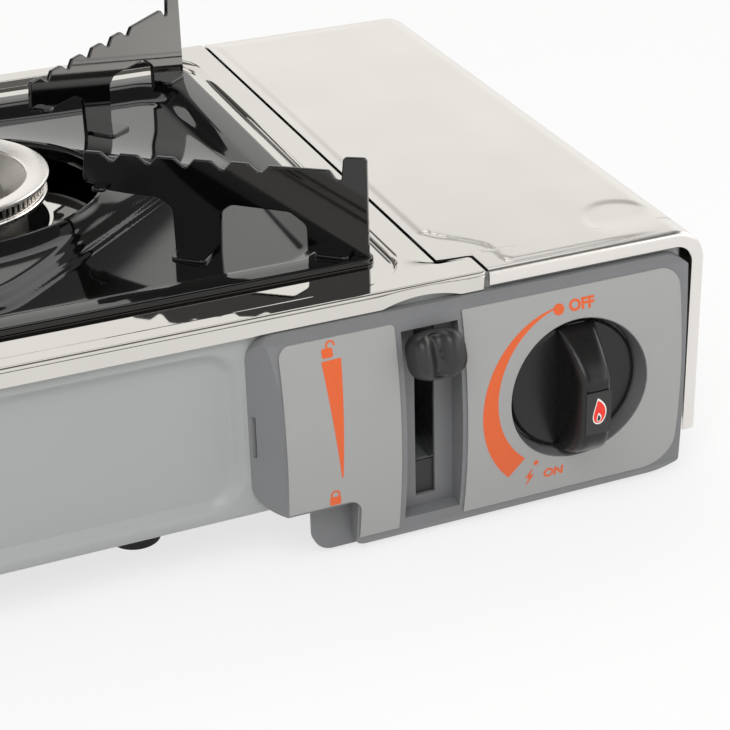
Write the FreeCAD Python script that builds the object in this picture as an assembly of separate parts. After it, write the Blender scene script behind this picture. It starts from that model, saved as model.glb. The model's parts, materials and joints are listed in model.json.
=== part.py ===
"""Butane cassette stove: sheet-steel body, lift-off drip tray with four pan supports, bow-fronted
control panel with a gas knob and a cartridge lock lever, and a hinged cover over the cartridge bay.

Millimetres. +X to the right, +Y to the back, +Z up. The origin is on the table, under the middle of
the stove's outline. The cartridge itself is a consumable and isn't part of the stove.
"""
import FreeCAD, Part
import math
import os
from FreeCAD import Vector as V

# Overall sizes, which everything else hangs on
WIDTH = 372.0               # left skirt to the lid's right face
DEPTH = 278.0               # knob's grip to the rear skirt
PLATE_TOP = 93.0            # top plate above the table
SHEET = 0.8                 # steel sheet of body, plate, lid and tray

# Body and top plate
SKIRT_DEPTH = 6.5           # top plate skirt, below the plate's top
SKIRT_OVERHANG = 2.0        # skirt stands out from the body's front wall
SIDE_OVERHANG = 1.0
REAR_OVERHANG = 1.5
KNOB_GRIP_PROUD = 25.5      # grip's front ahead of the body's front wall
LID_STAND_OFF = 8.0         # lid's outer face beyond the body's low right wall
BODY_FLOOR = 19.4           # underside of the pan above the table
BODY_CORNER_R = 13.0
BODY_TIGHT_R = 3.0          # upright corners on the cartridge side
RIGHT_WALL_HEIGHT = 14.0    # low wall under the lid's side
SHOULDER_CUT = 7.0          # slope of the end walls under the lid's rounded shoulder
RECESS_DEPTH = 2.5
RECESS_MARGIN = 7.5         # recess to the plate's front and left edges
RECESS_FAR_MARGIN = 10.0    # recess to the plate's right and rear edges
RECESS_R = 18.0
TAB_WIDTH = 12.5            # front tab of the plate that reaches past its right edge
TAB_DEPTH = 13.0
BURNER_HOLE_R = 40.0
RELIEF_DEPTH = 2.6          # arched relief in the skirt above the lever
RELIEF_HALF = 14.5
VENT_PITCH = 30.0
FLOOR_VENTS = 5
FLOOR_VENT_HALF = 30.0
FLOOR_VENT_W = 8.0
REAR_VENTS = 6
REAR_VENT_W = 18.0
REAR_VENT_H = 6.0
REAR_VENT_DROP = 30.0       # rear vents below the plate's top
OVER = 1.0                  # how far a cutting shape runs past what it cuts

# Recessed field in the body's front wall
FIELD_DEPTH = 3.0
FIELD_LEFT_MARGIN = 13.0
FIELD_RIGHT_MARGIN = 1.8    # to the control panel
FIELD_TOP_MARGIN = 4.0      # under the skirt
FIELD_LOW_MARGIN = 5.6
FIELD_R = 13.0

# Cartridge bay
CARTRIDGE_R = 33.75
CARTRIDGE_LENGTH = 184.0
CARTRIDGE_TO_WALL = 44.9    # cartridge axis to the low right wall
SEAT_SETBACK = 57.5         # seat's face behind the front wall
CRADLE_T = 1.0
CRADLE_GAP = 0.4
CRADLE_LIFT = 1.25          # cradle's lowest line above the floor
CRADLE_HALF_DEG = 38.0
CRADLE_SETBACK = 26.0       # cradle's front behind the seat's face
PLATE_TO_CARTRIDGE = 43.1   # plate's right edge to the cartridge's axis
PARTITION_SETBACK = 3.4     # partition under the plate, from its right edge
PARTITION_FOOT = 8.5
HEAT_STRIP_W = 24.0
HEAT_STRIP_T = 1.0
HEAT_STRIP_DROP = 44.5      # strip below the plate's recess
HEAT_STRIP_PAD = 18.0
HEAT_STRIP_EAR = 10.0
HEAT_STRIP_GAP = 2.2        # pad to the cartridge

# Lid and its hinge
LID_GAP = 1.2               # between the plate and the lid
LID_CORNER_R = 12.0
LID_RIM = 5.2               # turned-in front and rear rims
LID_BOTTOM = 14.5
BAY_CLEARANCE = 0.6         # body walls below the lid
HINGE_IN = 2.9              # hinge axis inside the lid's outer face
HINGE_UP = 3.0              # hinge axis above the lid's lower edge
HINGE_PIN_R = 1.0
HINGE_EAR_R = 1.7
HINGE_EAR_T = 1.5
HINGE_EAR_RISE = 6.0
HINGE_LENGTH = 8.0
HINGE_INSET = 6.0           # ears behind the front wall and before the rear wall
HINGE_GAP = 0.3             # ear to bracket
PIN_CLEARANCE = 0.05
BUFFER_GAP = 0.3            # rubber buffer under the lid
BUFFER_FRONT = 30.0         # buffers' middles from the front and rear walls
BUFFER_REAR = 20.0
BUFFER_HALF = 5.0
BUFFER_H = 9.0

# Control panel
PANEL_WIDTH = 160.6
PANEL_PAST_WALL = 1.4       # right end beyond the body's right wall
PANEL_WALL = 2.2
PANEL_BOTTOM = 1.8
PANEL_UNDER_SKIRT = 0.3
PANEL_TOP_PROUD = 3.0       # how far each line stands out from the body's front wall
PANEL_LOW_PROUD = 4.4
FACE_TOP_PROUD = 6.4
FACE_MID_PROUD = 11.4
FACE_BOTTOM_PROUD = 7.4
FACE_TOP_MARGIN = 2.0
FACE_BOTTOM_MARGIN = 4.2
FACE_PLATE_T = 0.6
FACE_GLUE = 0.03            # glue line under a face plate
PANEL_END_SLOPE = 9.5       # plan width of the sloping left end
PANEL_RIGHT_SLOPE = 5.0
PANEL_CORNER_R = 9.0
PANEL_LOW_R = 14.0
STEP_WIDTH = 33.2           # the front face starts this far in, below the step
STEP_RISE = 3.4             # step above the body's underside
STEP_PROUD = 2.2            # set-back skirt below the step
STEP_SKIRT = 19.7
STEP_LOW_R = 5.0
SNAP_W = 3.4
SNAP_H = 15.0
FACE_CORNER_R = 7.0
FACE_LOW_R = 12.0
FACE_INSET_LEFT = 8.7       # left face plate from the panel's left end
FACE_INSET_RIGHT = 6.9
FACE_TO_LEVER_LEFT = 12.3   # face plates' inner edges from the lever's middle
FACE_TO_LEVER_RIGHT = 11.7

# Lever channel and slot
LEVER_TO_CARTRIDGE = 53.6
CHANNEL_WIDTH = 20.2
CHANNEL_TOP_MARGIN = 5.7
CHANNEL_BOTTOM_MARGIN = 8.7
CHANNEL_FLOOR_PROUD = 2.5
CHANNEL_FLOOR_T = 1.4
SLOT_WIDTH = 7.1
SLOT_TOP_MARGIN = 1.5
SLOT_BOTTOM_MARGIN = 4.0

# Lock lever and cartridge slide
LEVER_R = 60.0              # pivot to the thumb pad
LEVER_HALF_DEG = 22.0       # up when open, down when locked
LEVER_RAISE = 5.5           # pivot above the channel's middle
LEVER_PAD_PROUD = 14.5      # pad centre ahead of the body wall at either end of its travel
LEVER_T = 2.0
LEVER_STEM = 8.0
LEVER_HUB_R = 8.0
PAD_WIDTH = 19.6
PAD_HEIGHT = 16.4
PAD_DEPTH = 11.0
PAD_R = 4.0
PAD_GRIP = 4.5              # stem's length inside the pad
CRANK_R = 10.0
CRANK_EYE_R = 5.0
CRANK_PIN_R = 2.0
LEVER_PIN_R = 2.5
LEVER_BRACKET_T = 1.5
LEVER_BRACKET_HALF = 9.0
LEVER_BRACKET_FOOT = 12.0
LEVER_GAP = 1.0             # lever to its bracket
SLIDE_GAP = 0.3             # slide to the partition
SLIDE_LOW = 8.0             # slide's strip below and above the crank pin
SLIDE_HIGH = 4.4
CLAW_BACK = 14.0            # slide's claw behind the seat's face, at rest
CLAW_T = 1.5
CLAW_LIFT = 3.0
COLLAR_R = 17.5             # claw's notch about the cartridge's collar

# Gas knob
KNOB_ABOVE_MID = 1.6        # knob's axis above the middle of the panel's face
KNOB_R = 23.8
KNOB_FACE_PROUD = 7.0       # disc front ahead of the body wall
KNOB_DISC_T = 3.0
KNOB_GRIP_WIDTH = 11.6
KNOB_HUB_R = 7.0
KNOB_HUB_CLEARANCE = 0.6
GRIP_EDGE = 0.6             # grip's ends inside the disc's edge
GRIP_UP = 8.0               # top and bottom of the grip's flat front, from the axis
GRIP_DOWN = 11.0
GRIP_ROUND = 19.0           # where the rounded lower end passes
RECESS_TOP_R = 26.0
RECESS_FLOOR_R = 24.5
RECESS_FLOOR_PROUD = 3.0
RECESS_FLOOR_T = 1.5
SPINDLE_R = 3.0
SPINDLE_CLEARANCE = 0.05
SPINDLE_GRIP = 4.0          # spindle's length inside the grip
SPINDLE_IN = 6.0            # and inside the regulator
LABEL_W = 9.6
LABEL_H = 16.0
LABEL_T = 0.5
LABEL_GAP = 0.1

# Regulator and gas line
REG_R = 21.0
REG_RAISE = 4.3             # regulator's axis above the knob's
REG_SETBACK = 15.5          # regulator's front behind the front wall
REG_LENGTH = 34.0
REG_COVER_T = 3.0
REG_COVER_LIP = 2.0
REG_NECK_R = 12.0
REG_NECK = 2.0
REG_CHEEK = 10.0
REG_BRACKET_HALF = 30.0
REG_BRACKET_RISE = 6.0
REG_BRACKET_FOOT = 14.0
BRACKET_SCREW_OFFSET = 22.0
BRACKET_SCREW_IN = 8.0
SCREW_R = 1.9
SCREW_HEAD_R = 3.4
SCREW_HEAD_T = 1.8
SEAT_R = 10.0
SEAT_BORE_R = 5.2
SEAT_BORE = 4.0
SEAL_T = 1.5
OUTLET_UP = 14.0            # outlet above the regulator's axis
BOSS_R = 5.0
GAS_TUBE_R = 2.4
GAS_BEND = 4.0
GAS_RUN = 19.0              # jet to the tube's first bend
JET_R = 4.0
JET_TIP_R = 1.5
JET_LENGTH = 12.0
JET_TIP = 4.0
JET_GAP = 3.0
JET_PLATE_HALF = 8.0
JET_EAR = 12.0
MIX_DEG = -26.0             # direction of the mixing tube, from the burner
MIX_DROP = 31.0             # mixing tube's axis below the burner's top
MIX_R = 9.0
MIX_WALL = 1.5
MIX_TO_PARTITION = 36.03    # mixing tube's inlet to the bay partition
BELL_LENGTH = 12.0
BELL_FLARE = 2.0

# Burner and spark
BURNER_RISE = 12.0          # flame ring's top above the top plate
BURNER_R = 37.0             # wall with the flame ports
BURNER_RING_W = 6.0
BURNER_RING_H = 6.0
BURNER_FLANGE = 1.6
BURNER_FLANGE_PROUD = 1.0
BURNER_CAP = 2.0            # overhang of the ring's top
BURNER_CAP_T = 1.4
BURNER_EDGE = 0.6
BURNER_BASE_R = 30.0
BURNER_HEIGHT = 42.0        # base's underside to the ring's top
BURNER_NECK = 6.0
BURNER_WALL = 2.5
DISH_T = 2.0
DISH_EDGE = 4.0             # dish's rim and middle below the ring's top
DISH_DEEP = 12.0
DISH_SLOPE = 8.0
DISH_BOSS_OFFSET = 18.0
DISH_BOSS_R = 6.0
DISH_BOSS_TOP_R = 3.5
DISH_BOSS_H = 7.0
DISH_BORE_R = 1.6
BURNER_SCREW_R = 2.0
BURNER_SCREW_OFFSET = 20.0
BURNER_SCREW_HEAD = 1.9     # head's radius over the shank's
BRIDGE_HALF_WIDTH = 12.0
BRIDGE_END = 8.0
BRIDGE_FOOT = 12.0
ELECTRODE_DEG = 200.0
ELECTRODE_OFF = 4.4         # ceramic sleeve to the flame ring
ELECTRODE_R = 0.9
ELECTRODE_TIP = 4.0
INSULATOR_R = 2.8
INSULATOR_LOW = 12.0        # sleeve's lower end above the burner base
INSULATOR_DOWN = 8.0        # sleeve's upper end below the ring's top
SHELF_UP = 20.0
SHELF_HALF = 4.0
PIEZO_W = 15.0
PIEZO_GAP = 4.0
PIEZO_LOW = 22.0
PIEZO_HIGH = 9.0
PIEZO_REAR = 8.0
WIRE_R = 1.2
WIRE_BEND = 6.0
WIRE_UP = 5.0               # wire above the floor
WIRE_CLEARANCE = 6.0        # wire ahead of the claw at full travel
GROMMET_R = 4.0
GROMMET_HOLE_R = 3.2
GROMMET_HALF = 1.4

# Drip tray and pan supports
TRAY_INSET = 14.5           # tray's left edge from the plate's
TRAY_RIGHT_INSET = 15.5     # and its right edge
TRAY_FRONT_INSET = 24.0     # tray's front edge behind the body's front wall
TRAY_REAR_INSET = 24.0
TRAY_DROP = 0.3             # tray's top below the plate's
TRAY_CORNER_R = 3.0
TRAY_EDGE = 2.0             # turned edge, down to just above the recess
TRAY_BAND = 10.0
TRAY_SLOPE = 7.0
TRAY_DEPTH = 4.7            # basin's floor below the tray's top
BASIN_TOP_R = 16.0
BASIN_LOW_R = 12.0
TRAY_CLEARANCE = 0.4        # basin above the well in the plate
WELL_GAP = 3.0              # well's wall outside the tray's basin
TRAY_LIP_R = 50.0
TRAY_LIP_FOOT_R = 66.0
TRAY_LIP_RISE = 5.3         # lip above the tray's top
TRAY_LIP_SKIRT = 5.0
TRAY_LIP_FLAT = 2.0
SUPPORT_T = 1.6
SUPPORT_CORNER = 2.4        # support's outer end inside the tray's corner
SUPPORT_GAP = 6.0           # support's inner end outside the tray's lip
SUPPORT_RISE = 34.9         # horn's tip above the top plate
SUPPORT_TEETH = 5
SUPPORT_FLANGE = 11.0
SUPPORT_FLANGE_AT = 0.59809   # inner flange's middle from the outer end, as a share of the reach
SUPPORT_FLANGE_W = 12.5
SUPPORT_PAD = 5.5
SUPPORT_PAD_AT = 0.11735
SUPPORT_PAD_W = 12.0

# Feet
FOOT_R = 9.5
FOOT_TAPER = 1.0
FOOT_PLUG_R = 4.0
FOOT_HEAD = 1.5
FOOT_LEFT_INSET = 25.0
FOOT_MID_SHIFT = -8.5
FOOT_RIGHT_INSET = 18.0
FOOT_FRONT_INSET = 35.5
FOOT_REAR_INSET = 32.5

# Places that follow from the sizes above
PLATE_LEFT = -WIDTH / 2
LID_RIGHT = WIDTH / 2
BODY_LEFT = PLATE_LEFT + SIDE_OVERHANG
BODY_RIGHT = LID_RIGHT - LID_STAND_OFF
PLATE_REAR = DEPTH / 2
BODY_REAR = PLATE_REAR - REAR_OVERHANG
KNOB_FRONT = -DEPTH / 2
BODY_FRONT = KNOB_FRONT + KNOB_GRIP_PROUD
PLATE_FRONT = BODY_FRONT - SKIRT_OVERHANG
SKIRT_BOTTOM = PLATE_TOP - SKIRT_DEPTH
PLATE_UNDER = PLATE_TOP - SHEET
RECESS_LEVEL = PLATE_TOP - RECESS_DEPTH
FLOOR_TOP = BODY_FLOOR + SHEET

CARTRIDGE_X = BODY_RIGHT - CARTRIDGE_TO_WALL
CARTRIDGE_Z = FLOOR_TOP + CRADLE_LIFT + CRADLE_T + CRADLE_GAP + CARTRIDGE_R
SEAT_FACE_Y = BODY_FRONT + SEAT_SETBACK
CRADLE_FRONT = SEAT_FACE_Y + CRADLE_SETBACK
CRADLE_REAR = SEAT_FACE_Y + CARTRIDGE_LENGTH
PLATE_RIGHT = CARTRIDGE_X - PLATE_TO_CARTRIDGE
PARTITION_X = PLATE_RIGHT - PARTITION_SETBACK
HEAT_STRIP_Z = RECESS_LEVEL - HEAT_STRIP_DROP

LID_LEFT = PLATE_RIGHT + LID_GAP
HINGE_X = LID_RIGHT - HINGE_IN
HINGE_Z = LID_BOTTOM + HINGE_UP

PANEL_RIGHT = BODY_RIGHT + PANEL_PAST_WALL
PANEL_LEFT = PANEL_RIGHT - PANEL_WIDTH
PANEL_TOP = SKIRT_BOTTOM - PANEL_UNDER_SKIRT
FACE_TOP = PANEL_TOP - FACE_TOP_MARGIN
FACE_BOTTOM = PANEL_BOTTOM + FACE_BOTTOM_MARGIN
FACE_MID = (FACE_TOP + FACE_BOTTOM) / 2
STEP_RIGHT = PANEL_LEFT + STEP_WIDTH
STEP_TOP = BODY_FLOOR + STEP_RISE
STEP_LEFT = PANEL_LEFT + STEP_SKIRT

LEVER_X = CARTRIDGE_X - LEVER_TO_CARTRIDGE
CHANNEL_TOP = PANEL_TOP - CHANNEL_TOP_MARGIN
CHANNEL_BOTTOM = PANEL_BOTTOM + CHANNEL_BOTTOM_MARGIN
SLOT_TOP = CHANNEL_TOP - SLOT_TOP_MARGIN
SLOT_BOTTOM = CHANNEL_BOTTOM + SLOT_BOTTOM_MARGIN
LEVER_PIVOT_Y = BODY_FRONT - LEVER_PAD_PROUD + LEVER_R * math.cos(math.radians(LEVER_HALF_DEG))
LEVER_PIVOT_Z = (CHANNEL_TOP + CHANNEL_BOTTOM) / 2 + LEVER_RAISE
SLIDE_TRAVEL = 2 * CRANK_R * math.sin(math.radians(LEVER_HALF_DEG))

KNOB_X = CARTRIDGE_X
KNOB_Z = FACE_MID + KNOB_ABOVE_MID
REG_Z = KNOB_Z + REG_RAISE
REG_FRONT = BODY_FRONT + REG_SETBACK
REG_REAR = REG_FRONT + REG_LENGTH
BRACKET_FRONT = REG_FRONT - REG_COVER_T - SHEET
BRACKET_SCREW_Y = BRACKET_FRONT + BRACKET_SCREW_IN

TRAY_HALF_X = (PLATE_RIGHT - TRAY_RIGHT_INSET - PLATE_LEFT - TRAY_INSET) / 2
TRAY_HALF_Y = (BODY_REAR - TRAY_REAR_INSET - BODY_FRONT - TRAY_FRONT_INSET) / 2
BURNER_X = PLATE_LEFT + TRAY_INSET + TRAY_HALF_X
BURNER_Y = BODY_FRONT + TRAY_FRONT_INSET + TRAY_HALF_Y
BURNER_TOP = PLATE_TOP + BURNER_RISE
BURNER_RING_LOW = BURNER_TOP - BURNER_RING_H - BURNER_FLANGE
BURNER_BASE_Z = BURNER_TOP - BURNER_HEIGHT
MIX_Z = BURNER_TOP - MIX_DROP
MIX_DIR = V(math.cos(math.radians(MIX_DEG)), math.sin(math.radians(MIX_DEG)), 0)
MIX_LENGTH = (PARTITION_X - MIX_TO_PARTITION - BURNER_X) / MIX_DIR.x
WIRE_Y = SEAT_FACE_Y + CLAW_BACK - SLIDE_TRAVEL - WIRE_CLEARANCE
WIRE_Z = FLOOR_TOP + WIRE_UP

TRAY_TOP = PLATE_TOP - TRAY_DROP
TRAY_FLOOR = TRAY_TOP - TRAY_DEPTH
WELL_LEVEL = TRAY_FLOOR - SHEET - TRAY_CLEARANCE
TRAY_LIP_TOP = TRAY_TOP + TRAY_LIP_RISE
SUPPORT_DEG = math.degrees(math.atan2(TRAY_HALF_Y, TRAY_HALF_X))
SUPPORT_END = math.hypot(TRAY_HALF_X, TRAY_HALF_Y) - SUPPORT_CORNER
SUPPORT_REACH = SUPPORT_END - TRAY_LIP_R - SUPPORT_GAP

FOOT_XS = (BODY_LEFT + FOOT_LEFT_INSET, (BODY_LEFT + BODY_RIGHT) / 2 + FOOT_MID_SHIFT,
           BODY_RIGHT - FOOT_RIGHT_INSET)
FOOT_YS = (BODY_FRONT + FOOT_FRONT_INSET, BODY_REAR - FOOT_REAR_INSET)


def box(x0, x1, y0, y1, z0, z1):
    """Box between two corners."""
    return Part.makeBox(x1 - x0, y1 - y0, z1 - z0, V(x0, y0, z0))


def rod(radius, start, end):
    """Round bar from start to end."""
    axis = V(*end) - V(*start)
    return Part.makeCylinder(radius, axis.Length, V(*start), axis)


def rod_x(radius, x0, x1, y, z):
    """Round bar along X."""
    return rod(radius, (x0, y, z), (x1, y, z))


def rod_y(radius, y0, y1, x, z):
    """Round bar along Y."""
    return rod(radius, (x, y0, z), (x, y1, z))


def rod_z(radius, z0, z1, x, y):
    """Round bar along Z."""
    return rod(radius, (x, y, z0), (x, y, z1))


def prism(points, direction):
    """Straight-edged outline pushed along a direction."""
    corners = [V(*p) for p in points]
    return Part.Face(Part.makePolygon(corners + corners[:1])).extrude(V(*direction))


def rounded_box(x0, x1, y0, y1, z0, z1, radii):
    """Box with rounded upright edges: radii at front-left, front-right, rear-right, rear-left."""
    solid = box(x0, x1, y0, y1, z0, z1)
    corners = ((x0, y0), (x1, y0), (x1, y1), (x0, y1))
    for (cx, cy), radius in zip(corners, radii):
        if radius <= 0:
            continue
        edges = [e for e in solid.Edges if len(e.Vertexes) == 2
                 and all(abs(v.X - cx) < 1e-6 and abs(v.Y - cy) < 1e-6 for v in e.Vertexes)]
        solid = solid.makeFillet(radius, edges)
    return solid


def rounded_panel(x0, x1, z0, z1, y0, y1, radii):
    """The same standing up: a box along Y with its four Y edges rounded, lower left first."""
    flat = rounded_box(x0, x1, z0, z1, -y1, -y0, radii)
    flat.rotate(V(0, 0, 0), V(1, 0, 0), 90)
    return flat


def tube_path(points, radius):
    """Wire of straight runs joined by tangent arcs of one radius."""
    pts = [V(*p) for p in points]
    edges = []
    start = pts[0]
    for i in range(1, len(pts) - 1):
        a = (pts[i - 1] - pts[i]).normalize()
        b = (pts[i + 1] - pts[i]).normalize()
        half = a.getAngle(b) / 2
        back = radius / math.tan(half)
        p = pts[i] + a * back
        q = pts[i] + b * back
        inward = (a + b).normalize()
        mid = pts[i] + inward * (radius / math.sin(half) - radius)
        edges.append(Part.LineSegment(start, p).toShape())
        edges.append(Part.Arc(p, mid, q).toShape())
        start = q
    edges.append(Part.LineSegment(start, pts[-1]).toShape())
    return Part.Wire(edges)


def tube(points, bend, radius):
    """Round bar swept along such a wire."""
    wire = tube_path(points, bend)
    first = V(*points[0])
    section = Part.Wire(Part.makeCircle(radius, first, V(*points[1]) - first))
    return wire.makePipeShell([section], True, False)


def lathe(profile, centre):
    """Closed (radius, height) outline turned about an upright axis."""
    pts = [V(centre[0] + r, centre[1], z) for r, z in profile]
    face = Part.Face(Part.makePolygon(pts + pts[:1]))
    return face.revolve(V(centre[0], centre[1], 0), V(0, 0, 1), 360)


def joined(first, others):
    """One solid from several that touch, with its seams removed."""
    return first.fuse(others).removeSplitter()


def less(solid, cutters):
    """A solid with several others cut out of it."""
    return solid.cut(Part.makeCompound(cutters))


def body_vents():
    """Cutters for the slots in the floor and under the rear skirt."""
    cuts = []
    for i in range(FLOOR_VENTS):
        x = BURNER_X + VENT_PITCH * (i - (FLOOR_VENTS - 1) / 2)
        half = FLOOR_VENT_W / 2
        cuts.append(rounded_box(x - half, x + half, BURNER_Y - FLOOR_VENT_HALF, BURNER_Y + FLOOR_VENT_HALF,
                                BODY_FLOOR - OVER, FLOOR_TOP + OVER, [half * 0.975] * 4))
    for i in range(REAR_VENTS):
        x = BURNER_X + VENT_PITCH * (i - (REAR_VENTS - 1) / 2)
        z = PLATE_TOP - REAR_VENT_DROP
        half = REAR_VENT_H / 2
        cuts.append(rounded_panel(x - REAR_VENT_W / 2, x + REAR_VENT_W / 2, z - half, z + half,
                                  BODY_REAR - SHEET - OVER, BODY_REAR + OVER, [half * 0.965] * 4))
    return cuts


def body_shell():
    """Pressed pan with a recessed front field, low right wall, vents and a window behind the panel."""
    radii = (BODY_CORNER_R, BODY_TIGHT_R, BODY_TIGHT_R, BODY_CORNER_R)
    outer = rounded_box(BODY_LEFT, BODY_RIGHT, BODY_FRONT, BODY_REAR, BODY_FLOOR, PLATE_UNDER, radii)
    inner = rounded_box(BODY_LEFT + SHEET, BODY_RIGHT - SHEET, BODY_FRONT + SHEET, BODY_REAR - SHEET,
                        FLOOR_TOP, PLATE_TOP, [r - SHEET for r in radii])
    left = BODY_LEFT + FIELD_LEFT_MARGIN
    right = PANEL_LEFT - FIELD_RIGHT_MARGIN
    top = SKIRT_BOTTOM - FIELD_TOP_MARGIN
    low = BODY_FLOOR + FIELD_LOW_MARGIN
    field = rounded_panel(left, right, low, top, BODY_FRONT - OVER, BODY_FRONT + FIELD_DEPTH, [FIELD_R] * 4)
    bulge = rounded_panel(left - SHEET, right + SHEET, low - SHEET, top + SHEET,
                          BODY_FRONT, BODY_FRONT + FIELD_DEPTH + SHEET, [FIELD_R + SHEET] * 4)
    shell = outer.cut(field).cut(inner.cut(bulge))
    rear = BODY_REAR + OVER
    front = BODY_FRONT - OVER
    cuts = body_vents()
    cuts.append(box(BODY_RIGHT - SHEET - OVER, BODY_RIGHT + OVER, BODY_FRONT + BODY_TIGHT_R + OVER,
                    BODY_REAR - BODY_TIGHT_R - OVER, FLOOR_TOP + RIGHT_WALL_HEIGHT, PLATE_TOP))
    cuts.append(box(PLATE_RIGHT, BODY_RIGHT + OVER, front, rear, PLATE_UNDER - BAY_CLEARANCE, PLATE_TOP))
    far = BODY_RIGHT + OVER
    cuts.append(prism(((BODY_RIGHT + OVER - SHOULDER_CUT, front, PLATE_TOP), (far, front, PLATE_TOP),
                       (far, front, PLATE_TOP - SHOULDER_CUT - 2 * OVER)), (0, rear - front, 0)))
    cuts.append(box(LEVER_X - CHANNEL_WIDTH / 2, PANEL_RIGHT - PANEL_LOW_R, front, BODY_FRONT + SHEET + OVER,
                    STEP_TOP + SLOT_BOTTOM_MARGIN, CHANNEL_TOP))
    for x in bracket_screw_xs():
        cuts.append(rod_z(SCREW_R, BODY_FLOOR - OVER, FLOOR_TOP + OVER, x, BRACKET_SCREW_Y))
    for y in FOOT_YS:
        for x in FOOT_XS:
            cuts.append(rod_z(FOOT_PLUG_R, BODY_FLOOR - OVER, FLOOR_TOP + OVER, x, y))
    return less(shell, cuts)


def top_plate():
    """Stainless plate: skirt on three sides, front tab, shallow recess for the tray, burner hole."""
    radii = (BODY_CORNER_R + SIDE_OVERHANG, 0, 0, BODY_CORNER_R + SIDE_OVERHANG)
    outer = rounded_box(PLATE_LEFT, PLATE_RIGHT, PLATE_FRONT, PLATE_REAR, SKIRT_BOTTOM, PLATE_TOP, radii)
    inner = rounded_box(PLATE_LEFT + SHEET, PLATE_RIGHT + OVER, PLATE_FRONT + SHEET, PLATE_REAR - SHEET,
                        SKIRT_BOTTOM - OVER, PLATE_UNDER, [max(r - SHEET, 0) for r in radii])
    plate = outer.cut(inner)
    tab_right = PLATE_RIGHT + TAB_WIDTH
    tab_rear = PLATE_FRONT + TAB_DEPTH
    tab = box(PLATE_RIGHT - OVER, tab_right, PLATE_FRONT, tab_rear, SKIRT_BOTTOM, PLATE_TOP)
    tab = tab.cut(box(PLATE_RIGHT - 2 * OVER, tab_right + OVER, PLATE_FRONT + SHEET, tab_rear + OVER,
                      SKIRT_BOTTOM - OVER, PLATE_UNDER))
    x0 = PLATE_LEFT + RECESS_MARGIN
    x1 = PLATE_RIGHT - RECESS_FAR_MARGIN
    y0 = PLATE_FRONT + RECESS_MARGIN
    y1 = PLATE_REAR - RECESS_FAR_MARGIN
    hollow = rounded_box(x0, x1, y0, y1, RECESS_LEVEL, PLATE_TOP + OVER, [RECESS_R] * 4)
    tub = rounded_box(x0 - SHEET, x1 + SHEET, y0 - SHEET, y1 + SHEET, RECESS_LEVEL - SHEET, PLATE_UNDER,
                      [RECESS_R + SHEET] * 4)
    half_x = TRAY_HALF_X - TRAY_BAND + WELL_GAP
    half_y = TRAY_HALF_Y - TRAY_BAND + WELL_GAP
    wx0, wx1, wy0, wy1 = BURNER_X - half_x, BURNER_X + half_x, BURNER_Y - half_y, BURNER_Y + half_y
    well = rounded_box(wx0, wx1, wy0, wy1, WELL_LEVEL, PLATE_TOP, [BASIN_TOP_R] * 4)
    well_tub = rounded_box(wx0 - SHEET, wx1 + SHEET, wy0 - SHEET, wy1 + SHEET, WELL_LEVEL - SHEET, RECESS_LEVEL,
                           [BASIN_TOP_R + SHEET] * 4)
    arch_r = (RELIEF_HALF ** 2 + RELIEF_DEPTH ** 2) / (2 * RELIEF_DEPTH)
    arch_z = SKIRT_BOTTOM + RELIEF_DEPTH - arch_r
    relief = rod_y(arch_r, PLATE_FRONT - OVER, PLATE_FRONT + SHEET + OVER / 2, LEVER_X, arch_z)
    hole = rod_z(BURNER_HOLE_R, 0, PLATE_TOP + OVER, BURNER_X, BURNER_Y)
    ex, ey = electrode_place()
    notch = rod_z(INSULATOR_R + 1.2, WELL_LEVEL - 2 * OVER, PLATE_TOP, ex, ey)
    return less(plate.fuse([tab, tub, well_tub]), [hollow, well, relief]).cut(hole).cut(notch).removeSplitter()


def lid_block(inset, y0, y1, extra):
    """Solid under the lid's bent section: flat top, rounded shoulder, upright side."""
    right = LID_RIGHT - inset
    top = PLATE_TOP - inset
    r = LID_CORNER_R - inset
    low = LID_BOTTOM - extra
    far = LID_LEFT - extra
    c = r * math.sqrt(0.5)
    a = V(far, y0, low)
    b = V(right, y0, low)
    start = V(right, y0, top - r)
    mid = V(right - r + c, y0, top - r + c)
    end = V(right - r, y0, top)
    d = V(far, y0, top)
    edges = [Part.LineSegment(a, b).toShape(), Part.LineSegment(b, start).toShape(),
             Part.Arc(start, mid, end).toShape(), Part.LineSegment(end, d).toShape(),
             Part.LineSegment(d, a).toShape()]
    return Part.Face(Part.Wire(edges)).extrude(V(0, y1 - y0, 0))


def lid():
    """Cover over the cartridge bay: top and right side in one bent sheet with turned-in rims."""
    y0 = PLATE_FRONT
    y1 = PLATE_REAR
    through = LID_RIM
    sheet = lid_block(0, y0, y1, 0).cut(lid_block(SHEET, y0 + SHEET, y1 - SHEET, through))
    shell = sheet.cut(lid_block(LID_RIM, y0 - OVER, y1 + OVER, through))
    tab_gap = box(LID_LEFT - OVER, PLATE_RIGHT + TAB_WIDTH + LID_GAP, y0 - OVER,
                  PLATE_FRONT + TAB_DEPTH + LID_GAP, SKIRT_BOTTOM - OVER, PLATE_TOP + OVER)
    shell = shell.cut(tab_gap)
    for ya, yb in hinge_ears():
        ear = box(HINGE_X - HINGE_EAR_R, LID_RIGHT - SHEET, ya, yb, LID_BOTTOM + 0.4, HINGE_Z + HINGE_EAR_RISE)
        shell = shell.fuse(ear)
    bore = rod_y(HINGE_PIN_R + PIN_CLEARANCE, y0 + 2, y1 - 2, HINGE_X, HINGE_Z)
    return shell.cut(bore).removeSplitter()


def hinge_ears():
    """Front and rear spans along Y of the lid's hinge ears."""
    front = BODY_FRONT + HINGE_INSET
    rear = BODY_REAR - HINGE_INSET
    return (front, front + HINGE_EAR_T), (rear - HINGE_EAR_T, rear)


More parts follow.
